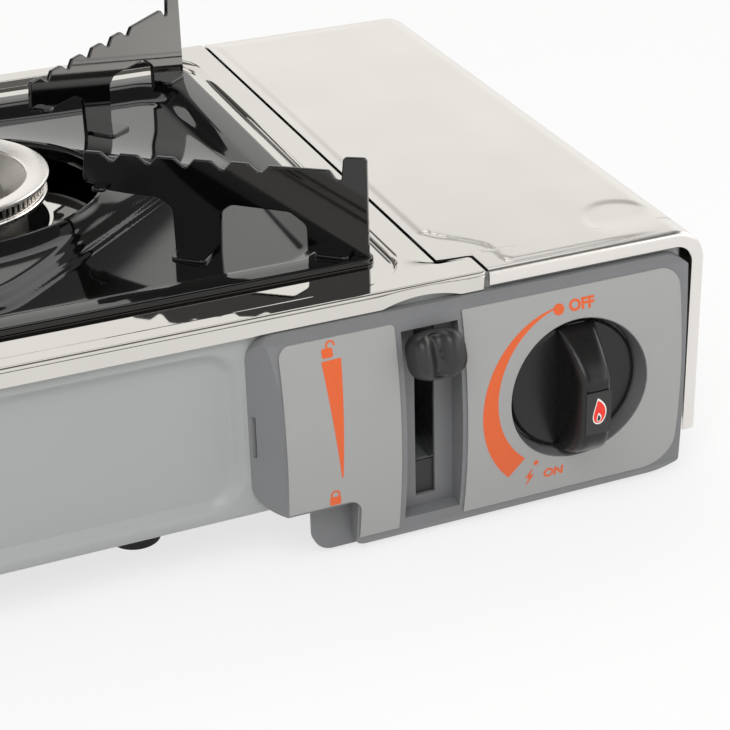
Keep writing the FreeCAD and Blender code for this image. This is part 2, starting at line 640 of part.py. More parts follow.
def hinge_bracket(at_front):
    """Small bracket on the body's low wall, with its round nose about the pin."""
    front, rear = hinge_ears()
    y0 = front[1] + HINGE_GAP if at_front else rear[0] - HINGE_GAP - HINGE_LENGTH
    nose = rod_y(HINGE_EAR_R, y0, y0 + HINGE_LENGTH, HINGE_X, HINGE_Z)
    top = FLOOR_TOP + RIGHT_WALL_HEIGHT - 3
    web = prism(((BODY_RIGHT, y0, HINGE_Z + 2.3), (HINGE_X, y0, HINGE_Z),
                 (HINGE_X, y0, HINGE_Z + HINGE_EAR_R), (BODY_RIGHT, y0, top)), (0, HINGE_LENGTH, 0))
    hole = rod_y(HINGE_PIN_R, y0 - OVER, y0 + HINGE_LENGTH + OVER, HINGE_X, HINGE_Z)
    return nose.fuse(web).cut(hole)


def hinge_pin(at_front):
    """Pin fast in its bracket and free in the lid's ear."""
    front, rear = hinge_ears()
    if at_front:
        return rod_y(HINGE_PIN_R, front[0] - 0.5, front[1] + HINGE_LENGTH, HINGE_X, HINGE_Z)
    return rod_y(HINGE_PIN_R, rear[0] - HINGE_LENGTH, rear[1] + 0.5, HINGE_X, HINGE_Z)


def lid_buffer(y):
    """Rubber buffer on the partition's top edge, just under the lid's free edge."""
    return box(PARTITION_X + SHEET, LID_LEFT + BUFFER_HALF, y - BUFFER_HALF, y + BUFFER_HALF,
               PLATE_UNDER - BUFFER_H, PLATE_UNDER - BUFFER_GAP)


def bow_profile(inset):
    """Side outline of the panel: a shallow bow between its sloping top and bottom borders."""
    def at(proud, z):
        return V(0, BODY_FRONT - proud + inset, z)

    top = PANEL_TOP - inset
    bottom = PANEL_BOTTOM + inset
    back = BODY_FRONT + inset
    low = at(FACE_BOTTOM_PROUD, FACE_BOTTOM)
    high = at(FACE_TOP_PROUD, FACE_TOP - inset / 2)
    low_back = V(0, back, bottom)
    high_back = V(0, back, top)
    low_edge = at(PANEL_LOW_PROUD, bottom)
    high_edge = at(PANEL_TOP_PROUD, top)
    edges = [Part.LineSegment(low_back, low_edge).toShape(), Part.LineSegment(low_edge, low).toShape(),
             Part.Arc(low, at(FACE_MID_PROUD, FACE_MID), high).toShape(),
             Part.LineSegment(high, high_edge).toShape(), Part.LineSegment(high_edge, high_back).toShape(),
             Part.LineSegment(high_back, low_back).toShape()]
    return Part.Face(Part.Wire(edges))


def panel_solid(inset):
    """Bow-fronted block with sloping ends and the stepped lower left corner."""
    x0 = PANEL_LEFT + inset
    x1 = PANEL_RIGHT - inset
    front = BODY_FRONT + inset
    bow = bow_profile(inset)
    bow.translate(V(x0, 0, 0))
    block = bow.extrude(V(x1 - x0, 0, 0))
    deep = FACE_MID_PROUD + 3
    rate = deep / FACE_MID_PROUD
    plan = prism(((x0, front + OVER, 0), (x0, front, 0), (x0 + PANEL_END_SLOPE * rate, front - deep, 0),
                  (x1 - PANEL_RIGHT_SLOPE * rate, front - deep, 0), (x1, front, 0), (x1, front + OVER, 0)),
                 (0, 0, PLATE_TOP))
    ahead = BODY_FRONT - 2 * deep
    behind = front + 2 * OVER
    ledge = front - STEP_PROUD
    step_x = STEP_RIGHT + inset
    step_z = STEP_TOP + inset
    bottom = PANEL_BOTTOM + inset
    joint = step_z + PANEL_LOW_R
    upper = rounded_panel(x0, x1, step_z, PANEL_TOP - inset, ahead, behind,
                          (PANEL_CORNER_R, 0, PANEL_CORNER_R + OVER, PANEL_CORNER_R))
    right = rounded_panel(step_x, x1, bottom, joint, ahead, behind, (STEP_LOW_R, PANEL_LOW_R, 0, 0))
    skirt = rounded_panel(STEP_LEFT + inset, x1, bottom, joint, ledge, behind,
                          (STEP_LOW_R + 2, PANEL_LOW_R, 0, 0))
    notch = rounded_panel(x0 - OVER, step_x, bottom - STEP_LOW_R, step_z, ahead, ledge, (0, 0, STEP_LOW_R, 0))
    outline = upper.fuse([right, skirt]).cut(notch)
    return block.common(plan).common(outline)


def control_panel():
    """Moulded panel: hollow shell with a lever channel, a knob recess and a snap window."""
    outer = panel_solid(0)
    front = BODY_FRONT - 2 * FACE_MID_PROUD
    back = BODY_FRONT + 2 * PANEL_WALL
    wall_top = BODY_FLOOR + 2
    open_back = outer.common(box(PANEL_LEFT + PANEL_WALL, PANEL_RIGHT - PANEL_WALL, BODY_FRONT - 0.9, back,
                                 wall_top, PANEL_TOP - PANEL_WALL))
    shell = outer.cut(panel_solid(PANEL_WALL)).cut(open_back)
    half = CHANNEL_WIDTH / 2
    tub = outer.common(box(LEVER_X - half - PANEL_WALL, LEVER_X + half + PANEL_WALL, front, back,
                           CHANNEL_BOTTOM - PANEL_WALL, CHANNEL_TOP + OVER))
    cup = outer.common(rod_y(RECESS_TOP_R + PANEL_WALL, front, back, KNOB_X, KNOB_Z))
    shell = shell.fuse([tub, cup])
    channel_floor = BODY_FRONT - CHANNEL_FLOOR_PROUD
    channel = box(LEVER_X - half, LEVER_X + half, front, channel_floor, CHANNEL_BOTTOM, CHANNEL_TOP)
    behind = box(LEVER_X - half, LEVER_X + half, channel_floor + CHANNEL_FLOOR_T, back, wall_top, CHANNEL_TOP)
    slot = box(LEVER_X - SLOT_WIDTH / 2, LEVER_X + SLOT_WIDTH / 2, channel_floor - OVER, back,
               SLOT_BOTTOM, SLOT_TOP)
    mouth = BODY_FRONT - FACE_MID_PROUD - FACE_PLATE_T
    floor_y = BODY_FRONT - RECESS_FLOOR_PROUD
    rate = (RECESS_TOP_R - RECESS_FLOOR_R) / (floor_y - mouth)
    ahead = 5 * OVER
    recess = Part.makeCone(RECESS_TOP_R + ahead * rate, RECESS_FLOOR_R, floor_y - mouth + ahead,
                           V(KNOB_X, mouth - ahead, KNOB_Z), V(0, 1, 0))
    cup_back = rod_y(RECESS_FLOOR_R, floor_y + RECESS_FLOOR_T, back, KNOB_X, KNOB_Z)
    bore = rod_y(KNOB_HUB_R + KNOB_HUB_CLEARANCE, front, back, KNOB_X, KNOB_Z)
    snap_mid = FACE_MID + KNOB_ABOVE_MID + SNAP_W + OVER / 4
    snap = box(PANEL_LEFT - OVER, PANEL_LEFT + SNAP_W, BODY_FRONT - STEP_PROUD, BODY_FRONT - SHEET,
               snap_mid - SNAP_H / 2, snap_mid + SNAP_H / 2)
    return less(shell, [channel, behind, slot, recess, cup_back, bore, snap]).removeSplitter()


def face_band():
    """Thin bow-shaped layer that both printed face plates are cut from."""
    def arc(lift):
        lines = ((FACE_BOTTOM_PROUD, FACE_BOTTOM), (FACE_MID_PROUD, FACE_MID), (FACE_TOP_PROUD, FACE_TOP))
        return [V(PANEL_LEFT, BODY_FRONT - proud - lift, z) for proud, z in lines]

    low = arc(FACE_GLUE)
    high = arc(FACE_PLATE_T)
    edges = [Part.Arc(*low).toShape(), Part.LineSegment(low[2], high[2]).toShape(),
             Part.Arc(*reversed(high)).toShape(), Part.LineSegment(high[0], low[0]).toShape()]
    return Part.Face(Part.Wire(edges)).extrude(V(PANEL_WIDTH, 0, 0))


def face_plate(x0, x1, radii):
    """Printed face plate between two X positions."""
    edge = FACE_PLATE_T
    outline = rounded_panel(x0, x1, FACE_BOTTOM + 2 * edge, FACE_TOP - edge,
                            BODY_FRONT - 2 * FACE_MID_PROUD, BODY_FRONT, radii)
    return face_band().common(outline)


def face_plate_left():
    """Left face plate, cut away above the lower left step."""
    plate = face_plate(PANEL_LEFT + FACE_INSET_LEFT, LEVER_X - FACE_TO_LEVER_LEFT, (0.5, 0.5, 1.5, 4))
    step = rounded_panel(PANEL_LEFT - OVER, STEP_RIGHT + OVER, 0, STEP_TOP + OVER,
                         BODY_FRONT - 2 * FACE_MID_PROUD, BODY_FRONT, (0, 0, STEP_LOW_R, 0))
    return plate.cut(step)


def face_plate_right():
    """Right face plate, with the round opening of the knob recess."""
    plate = face_plate(LEVER_X + FACE_TO_LEVER_RIGHT, PANEL_RIGHT - FACE_INSET_RIGHT,
                       (0.5, FACE_LOW_R, FACE_CORNER_R, 0.5))
    return plate.cut(rod_y(RECESS_TOP_R, BODY_FRONT - 2 * FACE_MID_PROUD, BODY_FRONT, KNOB_X, KNOB_Z))


def knob():
    """Round disc with a deep grip bar across it and a hub behind."""
    face = BODY_FRONT - KNOB_FACE_PROUD
    inside = face + OVER
    disc = rod_y(KNOB_R, face, face + KNOB_DISC_T, KNOB_X, KNOB_Z)
    hub = rod_y(KNOB_HUB_R, inside, BODY_FRONT - 0.5, KNOB_X, KNOB_Z)
    x = KNOB_X - KNOB_GRIP_WIDTH / 2
    up = KNOB_Z + KNOB_R - GRIP_EDGE
    down = KNOB_Z - KNOB_R + GRIP_EDGE
    depth = face - KNOB_FRONT
    points = [V(x, inside, up), V(x, face - 0.13 * depth, up), V(x, KNOB_FRONT, KNOB_Z + GRIP_UP),
              V(x, KNOB_FRONT, KNOB_Z - GRIP_DOWN), V(x, face - 0.43 * depth, down), V(x, inside, down)]
    bulge = V(x, KNOB_FRONT + 0.23 * depth, KNOB_Z - GRIP_ROUND)
    edges = [Part.LineSegment(points[0], points[1]).toShape(), Part.LineSegment(points[1], points[2]).toShape(),
             Part.LineSegment(points[2], points[3]).toShape(), Part.Arc(points[3], bulge, points[4]).toShape(),
             Part.LineSegment(points[4], points[5]).toShape(), Part.LineSegment(points[5], points[0]).toShape()]
    grip = Part.Face(Part.Wire(edges)).extrude(V(KNOB_GRIP_WIDTH, 0, 0))
    grip = grip.common(rod_y(KNOB_R, inside, KNOB_FRONT - OVER, KNOB_X, KNOB_Z))
    bore = rod_y(SPINDLE_R, BODY_FRONT, face - SPINDLE_GRIP, KNOB_X, KNOB_Z)
    seat = label_block(0, KNOB_FRONT - OVER)
    return disc.fuse([hub, grip]).cut(bore).cut(seat).removeSplitter()


def label_block(gap, front):
    """Room of the grip's label, or the label itself, from its front plane to the bottom of its seat."""
    mid = KNOB_Z - 2
    return box(KNOB_X - LABEL_W / 2 + gap, KNOB_X + LABEL_W / 2 - gap, front, KNOB_FRONT + LABEL_T,
               mid - LABEL_H / 2 + gap, mid + LABEL_H / 2 - gap)


def knob_insert():
    """Small label let into the grip's front."""
    return label_block(LABEL_GAP, KNOB_FRONT + LABEL_GAP)


def valve_spindle():
    """Spindle from the regulator to the knob."""
    front = BODY_FRONT - KNOB_FACE_PROUD - SPINDLE_GRIP
    return rod_y(SPINDLE_R, front, REG_FRONT + SPINDLE_IN, KNOB_X, KNOB_Z)


def regulator_body():
    """Die-cast pressure regulator with its spindle bore, outlet boss and seat boss."""
    main = rod_y(REG_R, REG_FRONT, REG_REAR, KNOB_X, REG_Z)
    end = gas_route()[-1]
    outlet = rod(BOSS_R, (KNOB_X, end[1], end[2]), end)
    neck = rod_y(REG_NECK_R, REG_REAR - OVER, REG_REAR + REG_NECK, CARTRIDGE_X, CARTRIDGE_Z)
    cheek = box(KNOB_X + REG_R / 2, KNOB_X + REG_R + PIEZO_GAP, REG_FRONT + 4, REG_REAR - 4,
                REG_Z - REG_CHEEK, REG_Z + REG_CHEEK)
    bore = rod_y(SPINDLE_R + SPINDLE_CLEARANCE, REG_FRONT - OVER, REG_FRONT + SPINDLE_IN + OVER, KNOB_X, KNOB_Z)
    return main.fuse([outlet, neck, cheek]).cut(bore).removeSplitter()


def regulator_cover():
    """Front cover of the diaphragm chamber."""
    ring = rod_y(REG_R + REG_COVER_LIP, REG_FRONT - REG_COVER_T, REG_FRONT, KNOB_X, REG_Z)
    return ring.cut(rod_y(SPINDLE_R + 1, REG_FRONT - REG_COVER_T - OVER, REG_FRONT + OVER, KNOB_X, KNOB_Z))


def bracket_screw_xs():
    """The regulator bracket's two screws along X."""
    return KNOB_X - BRACKET_SCREW_OFFSET, KNOB_X + BRACKET_SCREW_OFFSET


def regulator_bracket():
    """Upright steel bracket between the floor and the regulator's front cover."""
    y = BRACKET_FRONT
    x0 = KNOB_X - REG_BRACKET_HALF
    x1 = KNOB_X + REG_BRACKET_HALF
    plate = box(x0, x1, y, y + SHEET, FLOOR_TOP, REG_Z + REG_R + REG_BRACKET_RISE)
    foot = box(x0, x1, y, y + REG_BRACKET_FOOT, FLOOR_TOP, FLOOR_TOP + SHEET)
    holes = [rod_y(SPINDLE_R + 2, y - OVER, y + SHEET + OVER, KNOB_X, KNOB_Z)]
    for x in bracket_screw_xs():
        holes.append(rod_z(SCREW_R, FLOOR_TOP - OVER, FLOOR_TOP + SHEET + OVER, x, BRACKET_SCREW_Y))
    return less(plate.fuse(foot), holes).removeSplitter()


def bracket_screw(x):
    """Screw up through the floor into the regulator bracket's foot."""
    head = rod_z(SCREW_HEAD_R, BODY_FLOOR - SCREW_HEAD_T, BODY_FLOOR, x, BRACKET_SCREW_Y)
    return head.fuse(rod_z(SCREW_R, BODY_FLOOR, FLOOR_TOP + SHEET, x, BRACKET_SCREW_Y))


def cartridge_seat():
    """Brass collar that the cartridge's valve presses on."""
    outer = rod_y(SEAT_R, REG_REAR + REG_NECK, SEAT_FACE_Y, CARTRIDGE_X, CARTRIDGE_Z)
    return outer.cut(rod_y(SEAT_BORE_R, SEAT_FACE_Y - SEAT_BORE, SEAT_FACE_Y + OVER, CARTRIDGE_X, CARTRIDGE_Z))


def seat_seal():
    """Rubber ring in the collar."""
    y0 = SEAT_FACE_Y - SEAT_BORE
    y1 = y0 + SEAL_T
    hole = rod_y(SEAT_BORE_R / 2, y0 - OVER, y1 + OVER, CARTRIDGE_X, CARTRIDGE_Z)
    return rod_y(SEAT_BORE_R, y0, y1, CARTRIDGE_X, CARTRIDGE_Z).cut(hole)


def along_mix(distance):
    """Point on the mixing tube's axis, measured from the burner's centre."""
    return BURNER_X + MIX_DIR.x * distance, BURNER_Y + MIX_DIR.y * distance, MIX_Z


def gas_route():
    """Corner points of the gas tube from the jet to the regulator's outlet."""
    jet_end = MIX_LENGTH + JET_GAP + JET_LENGTH
    y = REG_REAR - BOSS_R - 2
    z = REG_Z + OUTLET_UP
    return (along_mix(jet_end), along_mix(jet_end + GAS_RUN), (KNOB_X - REG_R - 2 * BOSS_R, y, z),
            (KNOB_X - REG_R - 1, y, z))


def gas_tube(extra=0.0):
    """Bent brass tube, or with some extra radius the room it needs."""
    return tube(gas_route(), GAS_BEND, GAS_TUBE_R + extra)


def jet():
    """Brass injector in front of the mixing tube."""
    start = along_mix(MIX_LENGTH + JET_GAP)
    body = rod(JET_R, start, along_mix(MIX_LENGTH + JET_GAP + JET_LENGTH))
    return body.fuse(Part.makeCone(JET_R, JET_TIP_R, JET_TIP, V(*start), MIX_DIR * -1))


def jet_bracket():
    """Sheet bracket on the partition that holds the jet in line with the mixing tube."""
    x, y, z = along_mix(MIX_LENGTH + JET_GAP + JET_LENGTH - 5)
    y0 = y + 1
    plate = box(x, PARTITION_X, y0, y0 + SHEET, z - JET_PLATE_HALF, z + JET_PLATE_HALF)
    ear = box(PARTITION_X - SHEET, PARTITION_X, y0, y0 + JET_EAR, z - JET_PLATE_HALF, z + JET_PLATE_HALF)
    hole = rod(JET_R, along_mix(MIX_LENGTH), along_mix(MIX_LENGTH + JET_GAP + JET_LENGTH))
    return plate.fuse(ear).cut(hole).cut(gas_tube(0.6)).removeSplitter()


def mixing_tube():
    """Cast venturi tube from its open inlet to the burner's base."""
    mouth = along_mix(MIX_LENGTH - BELL_LENGTH)
    bore_r = MIX_R - MIX_WALL
    outer = rod(MIX_R, along_mix(BURNER_BASE_R - 4), mouth)
    bell = Part.makeCone(MIX_R, MIX_R + BELL_FLARE, BELL_LENGTH, V(*mouth), MIX_DIR)
    inner = rod(bore_r, along_mix(0), along_mix(MIX_LENGTH + OVER))
    bell_in = Part.makeCone(bore_r, bore_r + BELL_FLARE, BELL_LENGTH, V(*mouth), MIX_DIR)
    bowl = rod_z(BURNER_BASE_R, 0, PLATE_TOP, BURNER_X, BURNER_Y)
    return outer.fuse(bell).cut(inner).cut(bell_in).cut(bowl)


def burner_base():
    """Cast bowl under the flame ring, open to the mixing tube."""
    r = BURNER_BASE_R
    w = BURNER_WALL
    top = BURNER_RING_LOW
    neck = top - BURNER_NECK
    rim = BURNER_R - 1
    low = BURNER_BASE_Z
    bowl = lathe(((0, low), (r, low), (r, neck), (rim, top), (rim - w, top), (r - w, neck), (r - w, low + w),
                  (0, low + w)), (BURNER_X, BURNER_Y))
    return bowl.cut(rod(MIX_R - MIX_WALL, along_mix(5), along_mix(BURNER_BASE_R + 3)))


def burner_head():
    """Ring with the flame ports, between a flange and an overhanging cap."""
    low = BURNER_RING_LOW
    r = BURNER_R
    lip = r + BURNER_FLANGE_PROUD
    cap = r + BURNER_CAP
    under = BURNER_TOP - BURNER_CAP_T
    inner = r - BURNER_RING_W
    edge = BURNER_EDGE
    return lathe(((inner, low), (lip, low), (lip, low + 0.7 * BURNER_FLANGE), (r, low + BURNER_FLANGE), (r, under),
                  (cap, under), (cap, BURNER_TOP - edge), (cap - edge, BURNER_TOP), (inner, BURNER_TOP - 2 * edge)),
                 (BURNER_X, BURNER_Y))


def burner_dish():
    """Dished cover inside the ring, with a low boss off its centre."""
    r = BURNER_R - BURNER_RING_W
    edge = BURNER_TOP - DISH_EDGE
    deep = BURNER_TOP - DISH_DEEP
    flat = r - DISH_SLOPE
    dish = lathe(((0, deep), (flat, deep), (r, edge), (r, edge + DISH_T), (flat, deep + DISH_T),
                  (0, deep + DISH_T)), (BURNER_X, BURNER_Y))
    x = BURNER_X + DISH_BOSS_OFFSET
    boss = Part.makeCone(DISH_BOSS_R, DISH_BOSS_TOP_R, DISH_BOSS_H, V(x, BURNER_Y, deep + 1), V(0, 0, 1))
    return dish.fuse(boss).cut(rod_z(DISH_BORE_R, deep - OVER, BURNER_TOP, x, BURNER_Y))


def burner_bracket():
    """Bridge of folded sheet from the pan's floor up to the burner's base."""
    half = BURNER_SCREW_OFFSET + BRIDGE_END
    y0 = BURNER_Y - BRIDGE_HALF_WIDTH
    y1 = BURNER_Y + BRIDGE_HALF_WIDTH
    top = BURNER_BASE_Z
    deck = box(BURNER_X - half, BURNER_X + half, y0, y1, top - SHEET, top)
    folds = []
    for x in (BURNER_X - half, BURNER_X + half - SHEET):
        folds.append(box(x, x + SHEET, y0, y1, FLOOR_TOP, top))
    for x in (BURNER_X - half - BRIDGE_FOOT + SHEET, BURNER_X + half - SHEET):
        folds.append(box(x, x + BRIDGE_FOOT, y0, y1, FLOOR_TOP, FLOOR_TOP + SHEET))
    holes = []
    for x in (BURNER_X - BURNER_SCREW_OFFSET, BURNER_X + BURNER_SCREW_OFFSET):
        holes.append(rod_z(BURNER_SCREW_R, top - SHEET - OVER, top + OVER, x, BURNER_Y))
    return less(deck.fuse(folds), holes).removeSplitter()


def burner_screw(side):
    """Screw from below through the bridge's deck."""
    x = BURNER_X + side * BURNER_SCREW_OFFSET
    under = BURNER_BASE_Z - SHEET
    head = rod_z(BURNER_SCREW_R * BURNER_SCREW_HEAD, under - BURNER_SCREW_R, under, x, BURNER_Y)
    return head.fuse(rod_z(BURNER_SCREW_R, under, BURNER_BASE_Z, x, BURNER_Y))


def electrode_place():
    """Centre of the spark electrode beside the burner ring."""
    a = math.radians(ELECTRODE_DEG)
    reach = BURNER_R + INSULATOR_R + ELECTRODE_OFF
    return BURNER_X + reach * math.cos(a), BURNER_Y + reach * math.sin(a)


def electrode_insulator():
    """Ceramic sleeve beside the burner."""
    x, y = electrode_place()
    sleeve = rod_z(INSULATOR_R, BURNER_BASE_Z + INSULATOR_LOW, BURNER_TOP - INSULATOR_DOWN, x, y)
    return sleeve.cut(rod_z(ELECTRODE_R, 0, BURNER_TOP, x, y))


def electrode_shelf():
    """Clip that ties the ceramic sleeve to the burner's base."""
    x, y = electrode_place()
    z = BURNER_BASE_Z + SHELF_UP
    arm = box(0, BURNER_R + INSULATOR_R + ELECTRODE_OFF + SHELF_HALF, -SHELF_HALF, SHELF_HALF, z, z + SHEET)
    arm.rotate(V(0, 0, 0), V(0, 0, 1), ELECTRODE_DEG)
    arm.translate(V(BURNER_X, BURNER_Y, 0))
    arm = arm.cut(rod_z(BURNER_BASE_R, 0, BURNER_TOP, BURNER_X, BURNER_Y))
    return arm.cut(rod_z(INSULATOR_R, 0, BURNER_TOP, x, y))


def electrode():
    """Steel pin, bent at its tip towards the flame ring."""
    x, y = electrode_place()
    a = math.radians(ELECTRODE_DEG)
    low = (x, y, BURNER_BASE_Z + INSULATOR_LOW - ELECTRODE_TIP)
    bend = (x, y, BURNER_TOP + 2)
    tip = (x - ELECTRODE_TIP * math.cos(a), y - ELECTRODE_TIP * math.sin(a), BURNER_TOP + 3)
    return tube((low, bend, tip), 1.5, ELECTRODE_R)


def wire_route():
    """Corner points of the ignition wire from the electrode to the igniter."""
    x, y = electrode_place()
    end_x = KNOB_X + REG_R + PIEZO_GAP + PIEZO_W / 2
    end_z = REG_Z - 12
    return ((x, y, BURNER_BASE_Z + INSULATOR_LOW - ELECTRODE_TIP), (x, y, WIRE_Z), (x, WIRE_Y, WIRE_Z),
            (end_x, WIRE_Y, WIRE_Z), (end_x, WIRE_Y, end_z), (end_x, REG_REAR - PIEZO_REAR, end_z))


def ignition_wire():
    """Insulated wire, held by the sleeve, the grommet and the igniter."""
    return tube(wire_route(), WIRE_BEND, WIRE_R)


def wire_grommet():
    """Rubber grommet in the partition."""
    x = PARTITION_X + SHEET / 2
    ring = rod_x(GROMMET_R, x - GROMMET_HALF, x + GROMMET_HALF, WIRE_Y, WIRE_Z)
    groove = rod_x(GROMMET_R + OVER, PARTITION_X, PARTITION_X + SHEET, WIRE_Y, WIRE_Z)
    groove = groove.cut(rod_x(GROMMET_HOLE_R, PARTITION_X, PARTITION_X + SHEET, WIRE_Y, WIRE_Z))
    return ring.cut(groove).cut(ignition_wire())


def piezo_igniter():
    """Spark generator beside the regulator."""
    x0 = KNOB_X + REG_R + PIEZO_GAP
    return rounded_box(x0, x0 + PIEZO_W, REG_FRONT + 2, REG_REAR - PIEZO_REAR, REG_Z - PIEZO_LOW,
                       REG_Z + PIEZO_HIGH, [3] * 4)


def bay_partition():
    """Heat shield between the burner chamber and the cartridge bay."""
    x = PARTITION_X
    rear = BODY_REAR - SHEET
    wall = box(x, x + SHEET, BODY_FRONT + SHEET, rear, FLOOR_TOP, PLATE_UNDER)
    foot = box(x - PARTITION_FOOT, x + SHEET, BODY_FRONT + 24, rear - 2, FLOOR_TOP, FLOOR_TOP + SHEET)
    pin_y, pin_z = LEVER_PIVOT_Y, LEVER_PIVOT_Z + CRANK_R * math.cos(math.radians(LEVER_HALF_DEG))
    half = CRANK_R - 1
    window = box(x - OVER, x + SHEET + OVER, pin_y - half, pin_y + half, pin_z - 5.4, pin_z + 6.6)
    wire_hole = rod_x(GROMMET_HOLE_R, x - OVER, x + SHEET + OVER, WIRE_Y, WIRE_Z)
    strip_half = HEAT_STRIP_W / 2 + 0.5
    strip_hole = box(x - OVER, x + SHEET + OVER, BURNER_Y - strip_half, BURNER_Y + strip_half,
                     HEAT_STRIP_Z - 0.4, HEAT_STRIP_Z + HEAT_STRIP_T + 0.4)
    return less(wall.fuse(foot), [gas_tube(1.5), window, wire_hole, strip_hole]).removeSplitter()


def heat_strip():
    """Aluminium strip that carries a little warmth from the burner to the cartridge."""
    y0 = BURNER_Y - HEAT_STRIP_W / 2
    y1 = BURNER_Y + HEAT_STRIP_W / 2
    z = HEAT_STRIP_Z
    start = BURNER_X + BURNER_BASE_R + 16
    end = CARTRIDGE_X - CARTRIDGE_R - HEAT_STRIP_GAP
    ear_x = PARTITION_X - 0.1
    run = box(start, end, y0, y1, z, z + HEAT_STRIP_T)
    riser = box(start, start + HEAT_STRIP_T, y0, y1, z, WELL_LEVEL - SHEET - 4)
    pad = box(end - HEAT_STRIP_T, end, y0, y1, z, z + HEAT_STRIP_PAD)
    ear = box(ear_x - HEAT_STRIP_T, ear_x, y0, y1, z, z + HEAT_STRIP_EAR)
    return joined(run, [riser, pad, ear])


def cartridge_cradle():
    """Curved rest for the cartridge, on two folded legs."""
    r = CARTRIDGE_R + CRADLE_GAP
    pipe = rod_y(r + CRADLE_T, CRADLE_FRONT, CRADLE_REAR, CARTRIDGE_X, CARTRIDGE_Z)
    pipe = pipe.cut(rod_y(r, CRADLE_FRONT - OVER, CRADLE_REAR + OVER, CARTRIDGE_X, CARTRIDGE_Z))
    half = r * math.sin(math.radians(CRADLE_HALF_DEG))
    x0 = CARTRIDGE_X - half
    x1 = CARTRIDGE_X + half
    arc = pipe.common(box(x0, x1, CRADLE_FRONT, CRADLE_REAR, 0, CARTRIDGE_Z))
    leg_top = CARTRIDGE_Z - r * math.cos(math.radians(CRADLE_HALF_DEG)) - 0.2
    legs = [box(x, x + CRADLE_T, CRADLE_FRONT, CRADLE_REAR, FLOOR_TOP, leg_top) for x in (x0, x1 - CRADLE_T)]
    return joined(arc, legs)


def lever_span():
    """Left and right faces of the flat lever."""
    return LEVER_X - LEVER_T / 2, LEVER_X + LEVER_T / 2


def lever_stem():
    """The lever's straight stem, lying level."""
    x0, x1 = lever_span()
    front = LEVER_PIVOT_Y - LEVER_R + PAD_DEPTH / 2 - PAD_GRIP - 2
    return box(x0, x1, front, LEVER_PIVOT_Y, LEVER_PIVOT_Z - LEVER_STEM / 2, LEVER_PIVOT_Z + LEVER_STEM / 2)


def raised(solid):
    """A lever piece turned up from level to its rest position."""
    solid.rotate(V(0, LEVER_PIVOT_Y, LEVER_PIVOT_Z), V(1, 0, 0), -LEVER_HALF_DEG)
    return solid


def lever_arm():
    """Flat steel lever: stem to the thumb pad, hub on the pin, crank with its pin."""
    x0, x1 = lever_span()
    y = LEVER_PIVOT_Y
    z = LEVER_PIVOT_Z
    hub = rod_x(LEVER_HUB_R, x0, x1, y, z)
    eye = rod_x(CRANK_EYE_R, x0, x1, y, z + CRANK_R)
    pin = rod_x(CRANK_PIN_R, x0, PARTITION_X + SHEET + 2 * CLAW_T, y, z + CRANK_R)
    bore = rod_x(LEVER_PIN_R + PIN_CLEARANCE, x0 - OVER, x1 + OVER, y, z)
    return raised(hub.fuse([lever_stem(), eye, pin]).cut(bore))


def lever_knob():
    """Thumb pad on the lever's end, with a bore for the stem."""
    y1 = LEVER_PIVOT_Y - LEVER_R + PAD_DEPTH / 2
    z0 = LEVER_PIVOT_Z - PAD_HEIGHT / 2
    pad = box(LEVER_X - PAD_WIDTH / 2, LEVER_X + PAD_WIDTH / 2, y1 - PAD_DEPTH, y1, z0, z0 + PAD_HEIGHT)
    pad = pad.makeFillet(PAD_R, [e for e in pad.Edges if abs(e.Length - PAD_WIDTH) > 1e-6])
    return raised(pad.cut(lever_stem()))


def lever_pin():
    """Pivot pin of the lever, fast in the bracket."""
    x0 = lever_span()[0] - LEVER_GAP - LEVER_BRACKET_T - 2.5
    return rod_x(LEVER_PIN_R, x0, PARTITION_X, LEVER_PIVOT_Y, LEVER_PIVOT_Z)


def lever_bracket():
    """Upright ear on the floor that carries the lever's pin on its left side."""
    x1 = lever_span()[0] - LEVER_GAP
    x0 = x1 - LEVER_BRACKET_T
    y0 = LEVER_PIVOT_Y - LEVER_BRACKET_HALF
    y1 = LEVER_PIVOT_Y + LEVER_BRACKET_HALF
    ear = box(x0, x1, y0, y1, FLOOR_TOP, LEVER_PIVOT_Z + 7)
    foot = box(x0 - LEVER_BRACKET_FOOT, x1, y0, y1, FLOOR_TOP, FLOOR_TOP + LEVER_BRACKET_T)
    hole = rod_x(LEVER_PIN_R, x0 - OVER, x1 + OVER, LEVER_PIVOT_Y, LEVER_PIVOT_Z)
    return ear.fuse(foot).cut(hole).removeSplitter()


def collar_slide():
    """Slide on the partition: its claw draws the cartridge's collar onto the seat."""
    x0 = PARTITION_X + SHEET + SLIDE_GAP
    x1 = x0 + CLAW_T
    crank = math.radians(LEVER_HALF_DEG)
    pin_y = LEVER_PIVOT_Y + CRANK_R * math.sin(crank)
    pin_z = LEVER_PIVOT_Z + CRANK_R * math.cos(crank)
    top = pin_z + SLIDE_HIGH
    claw_y = SEAT_FACE_Y + CLAW_BACK
    strip = box(x0, x1, LEVER_PIVOT_Y - 12, claw_y + CLAW_T, pin_z - SLIDE_LOW, top)
    claw = box(x0, CARTRIDGE_X + COLLAR_R, claw_y, claw_y + CLAW_T, FLOOR_TOP + CLAW_LIFT, top)
    y0 = claw_y - OVER
    y1 = claw_y + CLAW_T + OVER
    collar = rod_y(COLLAR_R, y0, y1, CARTRIDGE_X, CARTRIDGE_Z)
    way = box(CARTRIDGE_X - COLLAR_R, CARTRIDGE_X + COLLAR_R + OVER, y0, y1, CARTRIDGE_Z, PLATE_TOP)
    pin_slot = box(x0 - OVER, x1 + OVER, pin_y - CRANK_PIN_R - 0.3, pin_y + CRANK_PIN_R + 0.3,
                   pin_z - CRANK_PIN_R - 0.5, pin_z + CRANK_PIN_R + 1.3)
    return less(strip.fuse(claw), [collar, way, pin_slot]).removeSplitter()


